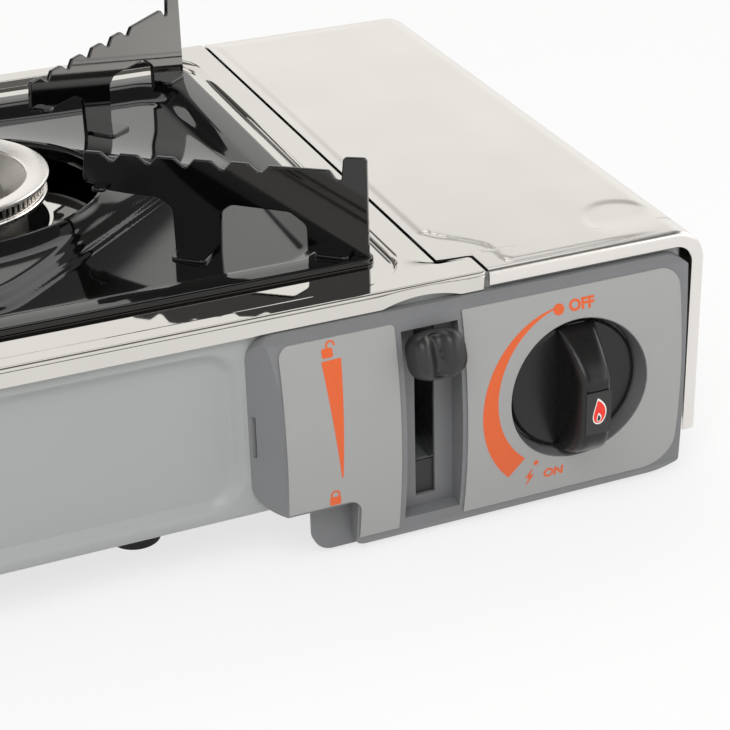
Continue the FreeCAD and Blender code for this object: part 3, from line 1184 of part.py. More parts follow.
def drip_tray():
    """Enamelled tray: turned edge, flat band, sunk basin and a raised lip about the burner."""
    cx = BURNER_X
    cy = BURNER_Y
    t = SHEET

    def slab(inset, z0, z1, r):
        hx = TRAY_HALF_X - inset
        hy = TRAY_HALF_Y - inset
        return rounded_box(cx - hx, cx + hx, cy - hy, cy + hy, z0, z1, [r] * 4)

    outer = slab(0, TRAY_TOP - TRAY_EDGE, TRAY_TOP, TRAY_CORNER_R)
    under = slab(t, TRAY_TOP - TRAY_EDGE - OVER, TRAY_TOP - t, TRAY_CORNER_R - t)

    def wire(inset, z, r):
        return min(slab(inset, z, z + 1, r).Faces, key=lambda f: f.CenterOfMass.z).OuterWire

    def basin(grow, top, bottom):
        return Part.makeLoft([wire(TRAY_BAND - grow, top, BASIN_TOP_R + grow),
                              wire(TRAY_BAND + TRAY_SLOPE - grow, bottom, BASIN_LOW_R + grow)], True)

    tub = basin(t, TRAY_TOP - t, TRAY_FLOOR - t)
    hollow = basin(0, TRAY_TOP, TRAY_FLOOR)
    frame = outer.cut(under).cut(hollow).fuse(tub.cut(hollow))
    foot_r = TRAY_LIP_FOOT_R
    lip_r = TRAY_LIP_R
    top = TRAY_LIP_TOP
    skirt = top - TRAY_LIP_SKIRT
    cone = lathe(((foot_r, TRAY_FLOOR - t), (foot_r + 1.5 * t, TRAY_FLOOR), (lip_r + TRAY_LIP_FLAT, top),
                  (lip_r, top), (lip_r, skirt), (lip_r + t, skirt), (lip_r + t, top - t),
                  (lip_r + 2 * t, top - t)), (cx, cy))
    hole = rod_z(foot_r, TRAY_FLOOR - t - OVER, TRAY_FLOOR + OVER, cx, cy)
    return frame.cut(hole).fuse(cone).removeSplitter()


def support_outline():
    """Pan support from the side: shares of its reach, from the outer end, and of its rise.

    Five teeth with a steep outer flank, a flat, the horn, the outer leg on the tray's band, an arch,
    the inner leg in the basin, a second arch and the rounded inner end.
    """
    pitch = 0.130
    shape = []
    for i in range(SUPPORT_TEETH):
        share = 0.986 - pitch * i
        rise = 0.788 + 0.009 * i
        shape += [(share, rise), (share - 0.060, rise + 0.003), (share - 0.093, rise - 0.074),
                  (share - 0.105, rise - 0.074)]
    shape += [(0.336, 0.824), (0.127, 0.841), (0.106, 0.750), (0.088, 0.750), (0.080, 0.985), (0.0, 1.0)]
    band = (TRAY_TOP - PLATE_TOP) / SUPPORT_RISE
    floor = (TRAY_FLOOR - PLATE_TOP) / SUPPORT_RISE
    shape += [(0.0, band), (0.213, band), (0.213, 0.254), (0.270, 0.372), (0.474, 0.384), (0.509, 0.300)]
    shape += [(0.516, floor), (0.681, floor), (0.682, 0.296), (0.735, 0.386), (0.840, 0.388), (0.937, 0.405),
              (1.0, 0.540)]
    return [(SUPPORT_END - u * SUPPORT_REACH, PLATE_TOP + v * SUPPORT_RISE) for u, v in shape]


def pan_support(turn):
    """Notched upright plate from the burner to one corner of the tray, welded at its two legs."""
    half = SUPPORT_T / 2
    plate = prism([(r, -half, z) for r, z in support_outline()], (0, SUPPORT_T, 0))
    x0 = SUPPORT_END - SUPPORT_FLANGE_AT * SUPPORT_REACH - SUPPORT_FLANGE_W / 2
    flange = box(x0, x0 + SUPPORT_FLANGE_W, -SUPPORT_FLANGE, 0.2 - half, TRAY_FLOOR, TRAY_FLOOR + SUPPORT_T)
    x0 = SUPPORT_END - SUPPORT_PAD_AT * SUPPORT_REACH - SUPPORT_PAD_W / 2
    pad = box(x0, x0 + SUPPORT_PAD_W, -SUPPORT_PAD, 0.2 - half, TRAY_TOP, TRAY_TOP + SUPPORT_T)
    body = joined(plate, [flange, pad])
    body.rotate(V(0, 0, 0), V(0, 0, 1), turn)
    body.translate(V(BURNER_X, BURNER_Y, 0))
    return body


def foot(x, y):
    """Rubber foot with a plug through the floor."""
    tread = Part.makeCone(FOOT_R - FOOT_TAPER, FOOT_R, BODY_FLOOR, V(x, y, 0), V(0, 0, 1))
    plug = rod_z(FOOT_PLUG_R, BODY_FLOOR, FLOOR_TOP, x, y)
    head = rod_z(FOOT_PLUG_R + FOOT_HEAD, FLOOR_TOP, FLOOR_TOP + FOOT_HEAD, x, y)
    return joined(tread, [plug, head])


def parts():
    """Every node's name and solid."""
    made = {make.__name__: make() for make in (
        body_shell, top_plate, bay_partition, heat_strip, cartridge_cradle, lid, control_panel,
        face_plate_left, face_plate_right, knob, knob_insert, valve_spindle, regulator_body,
        regulator_cover, regulator_bracket, cartridge_seat, seat_seal, gas_tube, jet, jet_bracket,
        mixing_tube, burner_base, burner_head, burner_dish, burner_bracket, electrode,
        electrode_insulator, electrode_shelf, ignition_wire, wire_grommet, piezo_igniter, lever_arm,
        lever_knob, lever_pin, lever_bracket, collar_slide, drip_tray)}
    made["burner_screw_left"] = burner_screw(-1)
    made["burner_screw_right"] = burner_screw(1)
    made["lid_buffer_front"] = lid_buffer(BODY_FRONT + BUFFER_FRONT)
    made["lid_buffer_rear"] = lid_buffer(BODY_REAR - BUFFER_REAR)
    for name, at_front in (("front", True), ("rear", False)):
        made["hinge_bracket_" + name] = hinge_bracket(at_front)
        made["hinge_pin_" + name] = hinge_pin(at_front)
    for i, x in enumerate(bracket_screw_xs()):
        made["bracket_screw_%d" % (i + 1)] = bracket_screw(x)
    for i, turn in enumerate((-SUPPORT_DEG, SUPPORT_DEG, 180 - SUPPORT_DEG, 180 + SUPPORT_DEG)):
        made["pan_support_%d" % (i + 1)] = pan_support(turn)
    places = [(x, y) for y in FOOT_YS for x in FOOT_XS]
    for i, (x, y) in enumerate(places):
        made["foot_%d" % (i + 1)] = foot(x, y)
    return made


os.makedirs("parts", exist_ok=True)
for node, shape in parts().items():
    solid = shape if shape.ShapeType == "Solid" else Part.makeCompound(shape.Solids)
    solid.exportStep("parts/%s.step" % node)
    b = solid.BoundBox
    print("%-20s solids %d valid %s  x %.1f..%.1f  y %.1f..%.1f  z %.1f..%.1f" % (
        node, len(solid.Solids), solid.isValid(), b.XMin, b.XMax, b.YMin, b.YMax, b.ZMin, b.ZMax))
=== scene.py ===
"""Looks of a butane cassette stove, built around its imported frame.

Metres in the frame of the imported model: +X right, +Y back, +Z up, origin on the table under the middle.
Shapes are written in millimetres and scaled once, where their mesh is made.
"""
import json
import math
import bpy
import bmesh
import numpy as np
from mathutils import Matrix


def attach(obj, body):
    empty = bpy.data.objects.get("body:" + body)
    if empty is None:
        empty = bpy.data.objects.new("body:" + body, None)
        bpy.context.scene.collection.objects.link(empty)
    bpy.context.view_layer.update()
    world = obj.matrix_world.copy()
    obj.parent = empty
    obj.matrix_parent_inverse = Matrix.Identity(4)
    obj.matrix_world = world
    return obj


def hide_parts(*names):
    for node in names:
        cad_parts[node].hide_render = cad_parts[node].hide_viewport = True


MM = 0.001

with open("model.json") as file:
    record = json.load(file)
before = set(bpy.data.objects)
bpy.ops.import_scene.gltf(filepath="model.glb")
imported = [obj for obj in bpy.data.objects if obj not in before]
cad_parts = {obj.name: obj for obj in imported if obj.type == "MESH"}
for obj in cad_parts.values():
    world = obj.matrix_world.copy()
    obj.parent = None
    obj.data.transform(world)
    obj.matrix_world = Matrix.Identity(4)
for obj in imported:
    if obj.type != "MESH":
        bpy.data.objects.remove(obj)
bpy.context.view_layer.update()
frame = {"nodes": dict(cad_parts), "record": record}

# Sizes shared with the part, in millimetres
SHEET = 0.8
PLATE_LEFT, PLATE_RIGHT, PLATE_FRONT, PLATE_REAR = -186.0, 90.0, -115.5, 139.0
PLATE_TOP, SKIRT_BOTTOM, RECESS_LEVEL, WELL_LEVEL = 93.0, 86.5, 90.5, 86.8
PLATE_R, RECESS_R, WELL_R = 14.0, 18.0, 16.0
RECESS_MARGIN, RECESS_FAR_MARGIN = 7.5, 10.0    # to the front and left edges, and to the other two
WELL_MARGIN = 7.0                               # well's wall inside the tray's edge
TAB_RIGHT, TAB_REAR = 102.5, -102.5
ARCH_RISE, ARCH_HALF = 2.6, 14.5                # arch in the skirt above the lever
BODY_LEFT, BODY_RIGHT, BODY_FRONT, BODY_REAR, BODY_FLOOR = -185.0, 178.0, -113.5, 137.5, 19.4
BODY_LEFT_R, BODY_RIGHT_R, LOW_WALL_TOP = 13.0, 3.0, 34.2
FIELD_X, FIELD_Z, FIELD_HALF_X, FIELD_HALF_Z = -77.5, 53.75, 94.5, 28.75    # sunk field of the front
FIELD_R, FIELD_DEPTH = 13.0, 3.0
BURNER = BURNER_X, BURNER_Y = -48.5, 12.0
BURNER_TOP = 105.0
TRAY_HALF_X, TRAY_HALF_Y, TRAY_TOP, TRAY_FLOOR = 123.0, 101.5, 92.7, 88.0
SUPPORT_DEG = math.degrees(math.atan2(TRAY_HALF_Y, TRAY_HALF_X))
SUPPORT_END = math.hypot(TRAY_HALF_X, TRAY_HALF_Y) - 2.4
SUPPORT_REACH, SUPPORT_RISE, SUPPORT_T = SUPPORT_END - 56.0, 34.9, 1.6
LID_LEFT, LID_RIGHT, LID_BOTTOM, LID_R, LID_RIM, LID_GAP = 91.2, 186.0, 14.5, 12.0, 5.2, 1.2
HINGE_X, HINGE_Z = 183.1, 17.5
KNOB = KNOB_X, KNOB_Z = 133.1, 46.7
KNOB_FRONT = -139.0
LEVER_X, LEVER_Y, LEVER_Z, LEVER_UP = 79.5, -72.369, 51.0, 22.0     # lever's pin, and its tilt in degrees
BOW_LINES = (7.4, 6.0), (11.4, 45.1), (6.4, 84.2)   # panel's face: ahead of the body, height

# Camera, solved from the photograph's perspective lines
CAMERA_AT = -0.15868, -0.65928, 0.37824
CAMERA_TURN_DEG, CAMERA_TILT_DEG = -25.14, 27.93
FOCAL_PX, AXIS_PX, FRAME_PX = 2041.0, 470.0, 730.0  # focal length, the view's axis and the frame's width


def new_object(name, data):
    """Object for a mesh, a lamp or a camera, put in the scene."""
    made = bpy.data.objects.new(name, data)
    bpy.context.scene.collection.objects.link(made)
    return made


def aim(thing, right, up, back, place):
    """Puts a camera or lamp at a place, with its three axes."""
    matrix = Matrix.Identity(4)
    for row in range(3):
        matrix[row][:] = right[row], up[row], back[row], place[row]
    thing.matrix_world = matrix


def place_camera():
    """Camera at its point: right, up and forward are the axes of its turn and tilt."""
    turn, tilt = math.radians(CAMERA_TURN_DEG), math.radians(CAMERA_TILT_DEG)
    right = np.array([math.cos(turn), math.sin(turn), 0.0])
    forward = np.array([-math.sin(turn) * math.cos(tilt), math.cos(turn) * math.cos(tilt), -math.sin(tilt)])
    data = bpy.data.cameras.new("photo_camera")
    data.sensor_width = 36.0
    data.lens = FOCAL_PX * data.sensor_width / FRAME_PX
    data.shift_x = -(AXIS_PX - FRAME_PX / 2) / FRAME_PX
    data.clip_start = 0.01
    data.clip_end = 50.0
    camera = new_object("photo_camera", data)
    aim(camera, right, np.cross(right, forward), -forward, CAMERA_AT)
    bpy.context.scene.camera = camera


place_camera()


# Materials
MIX_DARK, MIX_LIGHT, MIX_OUT = 6, 7, 2              # colour sockets of a Mix node


def linear(code):
    """sRGB hex colour as linear RGBA."""
    out = []
    for i in (1, 3, 5):
        c = int(code[i:i + 2], 16) / 255
        out.append(c / 12.92 if c <= 0.04045 else ((c + 0.055) / 1.055) ** 2.4)
    return (*out, 1.0)


def add(tree, kind, links=(), **settings):
    """Adds a node. A setting names an attribute or, after in_, an input; links are (input, socket)."""
    made = tree.nodes.new("ShaderNode" + kind)
    for key, value in settings.items():
        if key.startswith("in_"):
            made.inputs[key[3:].replace("_", " ")].default_value = value
        else:
            setattr(made, key, value)
    for key, socket in links:
        tree.links.new(socket, made.inputs[key])
    return made


def material(name, **shader):
    """Material with a principled shader; returns it with its tree, its shader and its object coordinates."""
    made = bpy.data.materials.new(name)
    made.use_nodes = True
    tree = made.node_tree
    surface = tree.nodes["Principled BSDF"]
    for key, value in shader.items():
        surface.inputs[key.replace("_", " ")].default_value = value
    place = add(tree, "TexCoord").outputs["Object"]
    return made, tree, surface, place


def two_tone(tree, surface, factor, dark, light):
    """Base colour between two linear tones, as a factor says."""
    mix = add(tree, "Mix", [("Factor", factor)], data_type="RGBA")
    mix.inputs[MIX_DARK].default_value = dark
    mix.inputs[MIX_LIGHT].default_value = light
    tree.links.new(mix.outputs[MIX_OUT], surface.inputs["Base Color"])


def mottled(tree, surface, place, dark, light, size_mm):
    """Base colour that drifts between two linear tones over patches of one size."""
    noise = add(tree, "TexNoise", [("Vector", place)], in_Scale=1000 / size_mm, in_Detail=3.0)
    two_tone(tree, surface, noise.outputs["Fac"], dark, light)


def varied_gloss(tree, surface, place, low, high, size_mm):
    """Roughness that drifts between two values, as handling and wiping leave it."""
    noise = add(tree, "TexNoise", [("Vector", place)], in_Scale=1000 / size_mm, in_Detail=4.0)
    span = add(tree, "MapRange", [("Value", noise.outputs["Fac"])], in_To_Min=low, in_To_Max=high)
    tree.links.new(span.outputs["Result"], surface.inputs["Roughness"])


def grained(tree, surface, place, size_mm, depth_mm, strength, stretch=(1, 1, 1)):
    """Fine bump of one grain size; stretch draws the grain out along an axis, as brushing does."""
    scaled = add(tree, "Mapping", [("Vector", place)], in_Scale=stretch)
    noise = add(tree, "TexNoise", [("Vector", scaled.outputs["Vector"])],
                in_Scale=1000 / size_mm, in_Detail=2.0)
    bump = add(tree, "Bump", [("Height", noise.outputs["Fac"])],
               in_Strength=strength, in_Distance=depth_mm * MM)
    tree.links.new(bump.outputs["Normal"], surface.inputs["Normal"])


def finish(name, tones, gloss, grain=None, **shader):
    """A material in three layers: tones (dark, light, patch in mm), gloss (least and most roughness, patch in
    mm) and grain (size and depth in mm, strength, stretch)."""
    made, tree, surface, place = material(name, **shader)
    dark, light, patch_mm = tones
    mottled(tree, surface, place, linear(dark), linear(light), patch_mm)
    varied_gloss(tree, surface, place, *gloss)
    if grain:
        grained(tree, surface, place, *grain)
    return made


def textured_plastic(name, dark, light, low, high, grain_mm=0.5):
    """Moulded plastic with the fine spark-eroded grain of its tool, 0.3 to 0.5 mm across."""
    return finish(name, (dark, light, 20), (low, high, 10), (grain_mm, 0.02, 0.22), IOR=1.54)


def cast_aluminium(name, dark, light, low, high):
    """Pressure-cast aluminium: pale grey, slightly pitted skin, brighter where it is machined."""
    return finish(name, (dark, light, 3), (low, high, 3), (0.6, 0.03, 0.3), Metallic=1.0)


def plain_metal(name, dark, light, low, high):
    """Drawn or rolled metal with its soft lengthwise sheen."""
    return finish(name, (dark, light, 6), (low, high, 5), (0.6, 0.006, 0.2, (1, 0.1, 1)), Metallic=1.0)


def printing_ink(name, code):
    """Pad-printed ink: flat colour with the slight mottle of a thin film, 7 per cent darker in patches."""
    made, tree, surface, place = material(name, IOR=1.5)
    full = linear(code)
    mottled(tree, surface, place, (full[0] * 0.93, full[1] * 0.93, full[2] * 0.93, 1), full, 2.5)
    varied_gloss(tree, surface, place, 0.38, 0.48, 3)
    return made


def zinc_plated_steel():
    """Zinc-plated brackets: dull bright metal with spangle about 4 mm across."""
    made, tree, surface, place = material("zinc_plated_steel", Metallic=1.0)
    cells = add(tree, "TexVoronoi", [("Vector", place)], in_Scale=1000 / 4.0)
    two_tone(tree, surface, cells.outputs["Distance"], linear("#A9ABAD"), linear("#C3C5C6"))
    varied_gloss(tree, surface, place, 0.28, 0.42, 4)
    return made


# Stoved light grey paint on pressed steel: satin, with a faint orange peel about 1.5 mm across
PAINT = finish("painted_sheet_steel", ("#A3A6A5", "#A8ABAA", 60), (0.36, 0.46, 25), (1.5, 0.02, 0.25),
               Coat_Weight=0.25, Coat_Roughness=0.22)
# Bright rolled stainless of the top plate: a near mirror with a slow waviness and soft wipe marks
MIRROR = finish("polished_stainless", ("#D2CFCA", "#DAD7D2", 40), (0.02, 0.05, 18),
                (14.0, 0.02, 0.06, (0.12, 1, 1)), Metallic=1.0)
# Satin stainless of the lid: fine brushing along its length that blurs every reflection
SATIN = finish("satin_stainless", ("#E2DEDA", "#E9E6E1", 50), (0.2, 0.27, 30),
               (0.7, 0.006, 0.25, (1, 0.04, 1)), Metallic=1.0)
# Vitreous enamel on the tray and supports: glassy black with a slow ripple
ENAMEL = finish("black_enamel", ("#040404", "#090908", 8), (0.04, 0.09, 12), (7.0, 0.05, 0.15),
                IOR=1.5, Coat_Weight=0.25, Coat_Roughness=0.03)
# Moulded ABS of the panel and the thumb pad, nylon of the igniter, and the silicone sleeve of its wire
PANEL_ABS = textured_plastic("grey_abs", "#77787A", "#7E7F81", 0.38, 0.5)
LEVER_ABS = textured_plastic("charcoal_abs", "#191919", "#212121", 0.34, 0.44, 0.4)
IVORY = textured_plastic("ivory_nylon", "#D8D6CC", "#E2E0D6", 0.35, 0.45)
SLEEVE = textured_plastic("red_silicone", "#A32018", "#B52A20", 0.4, 0.5)
# Sprayed silver-grey lacquer of the panel's face: smooth, satin, very slightly metallic
FILM = finish("silver_grey_lacquer", ("#A1A1A0", "#A6A6A5", 30), (0.34, 0.42, 15), (0.8, 0.006, 0.15),
              Metallic=0.15, Coat_Weight=0.2, Coat_Roughness=0.25)
# Gas knob: black phenolic moulding, semi-gloss with a faint rub along the grip; its label is a black film
KNOB_BLACK = finish("black_phenolic", ("#100F0F", "#181615", 9), (0.22, 0.34, 9), (1.2, 0.008, 0.2), IOR=1.46)
LABEL_BLACK = textured_plastic("black_label", "#1C1B1A", "#242221", 0.3, 0.38, 0.3)
ORANGE = printing_ink("orange_ink", "#E8642A")
RED = printing_ink("red_ink", "#F8301F")
WHITE = printing_ink("white_ink", "#F4F4F2")
ZINC = zinc_plated_steel()
# Aluminium as it was cast, and machined bright on the flame ring; the near-black third is painted shade for
# the inside of its ports
CASTING = cast_aluminium("cast_aluminium", "#A9A6A1", "#BDBAB5", 0.38, 0.5)
TURNED = cast_aluminium("machined_aluminium", "#EBE8E3", "#F4F1EC", 0.24, 0.32)
# Near-black tone: painted shade for the shadowed backs of the flame ring's ports
PORT_SHADE = cast_aluminium("port_shade_aluminium", "#0D0C0C", "#191716", 0.6, 0.75)
# Rolled strip that warms the cartridge, and brass of the tube, jet and spindle
STRIP = plain_metal("rolled_aluminium", "#C4C4C4", "#D2D2D2", 0.25, 0.35)
BRASS = plain_metal("drawn_brass", "#B8914A", "#C9A45C", 0.22, 0.34)
# Black rubber of feet, seal and buffers: matt with a pale bloom
RUBBER = finish("black_rubber", ("#161616", "#232323", 6), (0.7, 0.85, 6), (0.8, 0.03, 0.3), IOR=1.5)
# White glazed sleeve of the spark electrode: smooth and glassy
CERAMIC = finish("glazed_ceramic", ("#E6E3DA", "#F1EFE8", 4), (0.12, 0.2, 4),
                 IOR=1.55, Coat_Weight=0.5, Coat_Roughness=0.05)

SLOT_FINISH = {
    "body_paint": PAINT, "stainless": SATIN, "enamel": ENAMEL, "panel_plastic": PANEL_ABS,
    "face_print": FILM, "knob_plastic": KNOB_BLACK, "label_print": LABEL_BLACK, "pad_plastic": LEVER_ABS,
    "galvanised_steel": ZINC, "cast_aluminium": CASTING, "strip_aluminium": STRIP, "brass": BRASS,
    "rubber": RUBBER, "ceramic": CERAMIC, "igniter_plastic": IVORY, "wire_sleeve": SLEEVE}
NODE_SLOT = {row["node"]: row["material_slot"] for row in frame["record"]["subparts"]}
NODE_BODY = {n: body for body, names in frame["record"]["behaviour"]["bodies"].items() for n in names}

for node_name, node_object in frame["nodes"].items():
    node_object.data.materials.clear()
    node_object.data.materials.append(SLOT_FINISH[NODE_SLOT[node_name]])


# Meshes
def outward_mesh(name, verts, faces):
    """Mesh from millimetre vertices: merged, its normals turned outwards."""
    data = bpy.data.meshes.new(name)
    data.from_pydata((np.asarray(verts) * MM).tolist(), [], faces)
    bm = bmesh.new()
    bm.from_mesh(data)
    bmesh.ops.remove_doubles(bm, verts=bm.verts, dist=1e-7)
    bmesh.ops.recalc_face_normals(bm, faces=bm.faces)
    bm.to_mesh(data)
    bm.free()
    return data


def shade(piece, sharp_deg):
    """Smooth faces, with edges beyond an angle kept sharp."""
    piece.data.shade_smooth()
    piece.data.set_sharp_from_angle(angle=math.radians(sharp_deg))


def mesh_piece(name, verts, faces, surface, body, replaced=(), sharp_deg=35.0):
    """One piece on a body, in the place of the nodes that it replaces."""
    data = outward_mesh(name, verts, faces)
    data.materials.append(surface)
    made = new_object(name, data)
    shade(made, sharp_deg)
    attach(made, body)
    if replaced:
        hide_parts(*replaced)
    return made


def evaluated_mesh(piece):
    """Mesh of an object as its modifiers or its curve settings leave it."""
    bpy.context.view_layer.update()
    return bpy.data.meshes.new_from_object(piece.evaluated_get(bpy.context.evaluated_depsgraph_get()))


def settle(piece, sharp_deg):
    """Takes a piece's modifiers into its mesh."""
    data = evaluated_mesh(piece)
    piece.modifiers.clear()
    piece.data = data
    shade(piece, sharp_deg)


def weighted(piece):
    """Normals that follow the large faces, so flat ones stay flat next to a small round."""
    modifier = piece.modifiers.new("even_normals", "WEIGHTED_NORMAL")
    modifier.keep_sharp = True
    return piece


def softened(name, node, width_mm):
    """A CAD node's shape with rounded edges: a merged copy, its flat faces joined, then bevelled."""
    data = frame["nodes"][node].data.copy()
    bm = bmesh.new()
    bm.from_mesh(data)
    bmesh.ops.remove_doubles(bm, verts=bm.verts, dist=2e-6)
    bmesh.ops.dissolve_limit(bm, angle_limit=math.radians(0.8), verts=bm.verts, edges=bm.edges)
    bm.to_mesh(data)
    bm.free()
    data.materials.clear()
    data.materials.append(SLOT_FINISH[NODE_SLOT[node]])
    made = new_object(name, data)
    bevel = made.modifiers.new("rounded_edges", "BEVEL")
    bevel.width = width_mm * MM
    bevel.segments = 3
    bevel.limit_method = "ANGLE"
    bevel.angle_limit = math.radians(30)
    bevel.use_clamp_overlap = True
    settle(made, 40)
    weighted(made)
    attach(made, NODE_BODY[node])
    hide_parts(node)
    return made


LEAST_R = 0.02              # radius that a corner keeps
SIDE_SHARE = 0.46           # most of a side that one corner's arc may take


def rounded_loop(corners, radii, inset=0.0, arcs=8, sides=4):
    """Closed anticlockwise outline of straight sides and tangent arcs, moved inward by inset.

    Each corner moves along its bisector by inset / cos(half turn); its radius shrinks by the inset where
    the outline is convex and grows where it is concave. arcs and sides are points per corner and per side.
    """
    pts = np.asarray(corners, float)
    count = len(pts)
    arcs = [arcs] * count if np.isscalar(arcs) else arcs
    sides = [sides] * count if np.isscalar(sides) else sides
    along = np.roll(pts, -1, 0) - pts
    along /= np.linalg.norm(along, axis=1)[:, None]
    before = np.roll(along, 1, 0)
    left = np.stack([-along[:, 1], along[:, 0]], 1)
    left_before = np.roll(left, 1, 0)
    moved = pts + inset * (left + left_before) / (1 + (left * left_before).sum(1))[:, None]
    cross = before[:, 0] * along[:, 1] - before[:, 1] * along[:, 0]
    turn = np.arctan2(cross, (before * along).sum(1))
    half_tan = np.abs(np.tan(turn / 2))
    radius = np.maximum(np.asarray(radii, float) - inset * np.sign(turn), LEAST_R)
    length = np.linalg.norm(np.roll(moved, -1, 0) - moved, axis=1)
    room = SIDE_SHARE * np.minimum(length, np.roll(length, 1)) / np.maximum(half_tan, 1e-6)
    radius = np.minimum(radius, room)
    reach = radius * half_tan
    start = moved - before * reach[:, None]
    end = moved + along * reach[:, None]
    out = []
    for i in range(count):
        side = np.sign(turn[i]) or 1.0
        centre = start[i] + left_before[i] * radius[i] * side
        spoke = start[i] - centre
        t = np.linspace(0, turn[i], arcs[i])
        out.append(centre + np.stack([spoke[0] * np.cos(t) - spoke[1] * np.sin(t),
                                      spoke[0] * np.sin(t) + spoke[1] * np.cos(t)], 1))
        u = np.linspace(0, 1, sides[i] + 2)[1:-1, None]
        out.append(end[i] * (1 - u) + start[(i + 1) % count] * u)
    return np.concatenate(out)


def rectangle(x0, x1, y0, y1):
    """Corners of a rectangle, anticlockwise from the lower left."""
    return [(x0, y0), (x1, y0), (x1, y1), (x0, y1)]


def box_about(centre, half_x, half_y):
    """Corners of a rectangle about its centre."""
    x, y = centre
    return rectangle(x - half_x, x + half_x, y - half_y, y + half_y)


def circle(centre, radius, angle):
    """Points at a radius from a centre, one for each angle."""
    return np.stack([centre[0] + radius * np.cos(angle), centre[1] + radius * np.sin(angle)], 1)


def full_turn(steps):
    """Even angles once round."""
    return np.arange(steps) * 2 * math.pi / steps


def level(loop, z):
    """Flat loop at a height, or at one height for each of its points."""
    return np.column_stack([loop, np.broadcast_to(z, len(loop))])


def standing(loop, y):
    """Loop of (x, z) stood upright at one Y."""
    return np.stack([loop[:, 0], np.full(len(loop), y), loop[:, 1]], 1)


def lofted(rings, wrap=False):
    """Vertices and quads through closed rings of equal count; wrap joins the last ring to the first, and
    otherwise both ends are closed."""
    rings = np.asarray(rings, float)
    rows, n = rings.shape[:2]
    index = np.arange(rows * n).reshape(rows, n)
    last = rows if wrap else rows - 1
    a = index[np.arange(last) % rows]
    b = index[(np.arange(last) + 1) % rows]
    faces = np.stack([a, np.roll(a, -1, 1), np.roll(b, -1, 1), b], -1).reshape(-1, 4).tolist()
    if not wrap:
        faces += [index[0][::-1].tolist(), index[-1].tolist()]
    return rings.reshape(-1, 3), faces


def closed_sheet(outer, inner):
    """Vertices and faces of two grids of points, joined round their edge."""
    rows, columns = outer.shape[:2]
    base = rows * columns
    index = np.arange(base).reshape(rows, columns)
    quads = np.stack([index[:-1, :-1], index[1:, :-1], index[1:, 1:], index[:-1, 1:]], -1).reshape(-1, 4)
    edge = np.concatenate([index[0, :], index[1:, -1], index[-1, -2::-1], index[-2:0:-1, 0]])
    after = np.roll(edge, -1)
    border = np.stack([edge, after, after + base, edge + base], -1)
    faces = np.concatenate([quads, quads[:, ::-1] + base, border]).tolist()
    return np.concatenate([outer.reshape(-1, 3), inner.reshape(-1, 3)]), faces


def combined(parts):
    """Several (vertices, faces) as one."""
    verts, faces, base = [], [], 0
    for v, f in parts:
        verts.append(v)
        faces += [[i + base for i in face] for face in f]
        base += len(v)
    return np.concatenate(verts), faces


def smooth_step(t):
    """0 before 0, 1 after 1, and a smooth S between."""
    t = np.clip(t, 0, 1)
    return t * t * (3 - 2 * t)


def pillow_block(x0, x1, y0, y1, z0, z1, corner, edge):
    """Upright block with rounded corners and rounded top and bottom edges."""
    bends = [math.radians(30 * k) for k in range(4)]
    profile = [(edge * (1 - math.sin(a)), z0 + edge * (1 - math.cos(a))) for a in bends]
    profile += [(edge * (1 - math.cos(a)), z1 - edge * (1 - math.sin(a))) for a in bends]
    return lofted([level(rounded_loop(rectangle(x0, x1, y0, y1), [corner] * 4, inset, 6, 2), z)
                   for inset, z in profile])


# Top plate. Each outline has 311 points: one recess corner has as many as the plate's tab there.
FRONT_POINTS, SIDE_POINTS = 170, 30
CORNER_POINTS = 10, 5 + 4 + 5 + 4 + 5, 8, 10
ELECTRODE_DEG = 200.0       # direction of the notch beside the electrode


def plate_outline(inset):
    """Outer outline of the plate with its front tab."""
    corners = [(PLATE_LEFT, PLATE_FRONT), (TAB_RIGHT, PLATE_FRONT), (TAB_RIGHT, TAB_REAR),
               (PLATE_RIGHT, TAB_REAR), (PLATE_RIGHT, PLATE_REAR), (PLATE_LEFT, PLATE_REAR)]
    return rounded_loop(corners, (PLATE_R, 1.2, 1.5, 1.2, 1.5, PLATE_R), inset, (10, 5, 5, 5, 8, 10),
                        (FRONT_POINTS, 4, 4, SIDE_POINTS, SIDE_POINTS, SIDE_POINTS))


def inner_outline(corners, radius, inset):
    """Rounded rectangle with the plate outline's count of points."""
    return rounded_loop(corners, [radius] * 4, inset, CORNER_POINTS,
                        (FRONT_POINTS, SIDE_POINTS, SIDE_POINTS, SIDE_POINTS))


def recess_outline(inset):
    """Outline of the plate's recess."""
    corners = rectangle(PLATE_LEFT + RECESS_MARGIN, PLATE_RIGHT - RECESS_FAR_MARGIN,
                        PLATE_FRONT + RECESS_MARGIN, PLATE_REAR - RECESS_FAR_MARGIN)
    return inner_outline(corners, RECESS_R, inset)


def well_outline(inset):
    """Outline of the plate's inner well, under the tray's basin."""
    corners = box_about(BURNER, TRAY_HALF_X - WELL_MARGIN, TRAY_HALF_Y - WELL_MARGIN)
    return inner_outline(corners, WELL_R, inset)


def burner_hole(loop, radius):
    """Circle about the burner at the angles of a loop's points, eased outwards beside the electrode."""
    angle = np.arctan2(loop[:, 1] - BURNER_Y, loop[:, 0] - BURNER_X)
    off = (angle - math.radians(ELECTRODE_DEG) + math.pi) % (2 * math.pi) - math.pi
    return circle(BURNER, radius + 7.2 * np.exp(-(off / math.radians(7.5)) ** 2), angle)


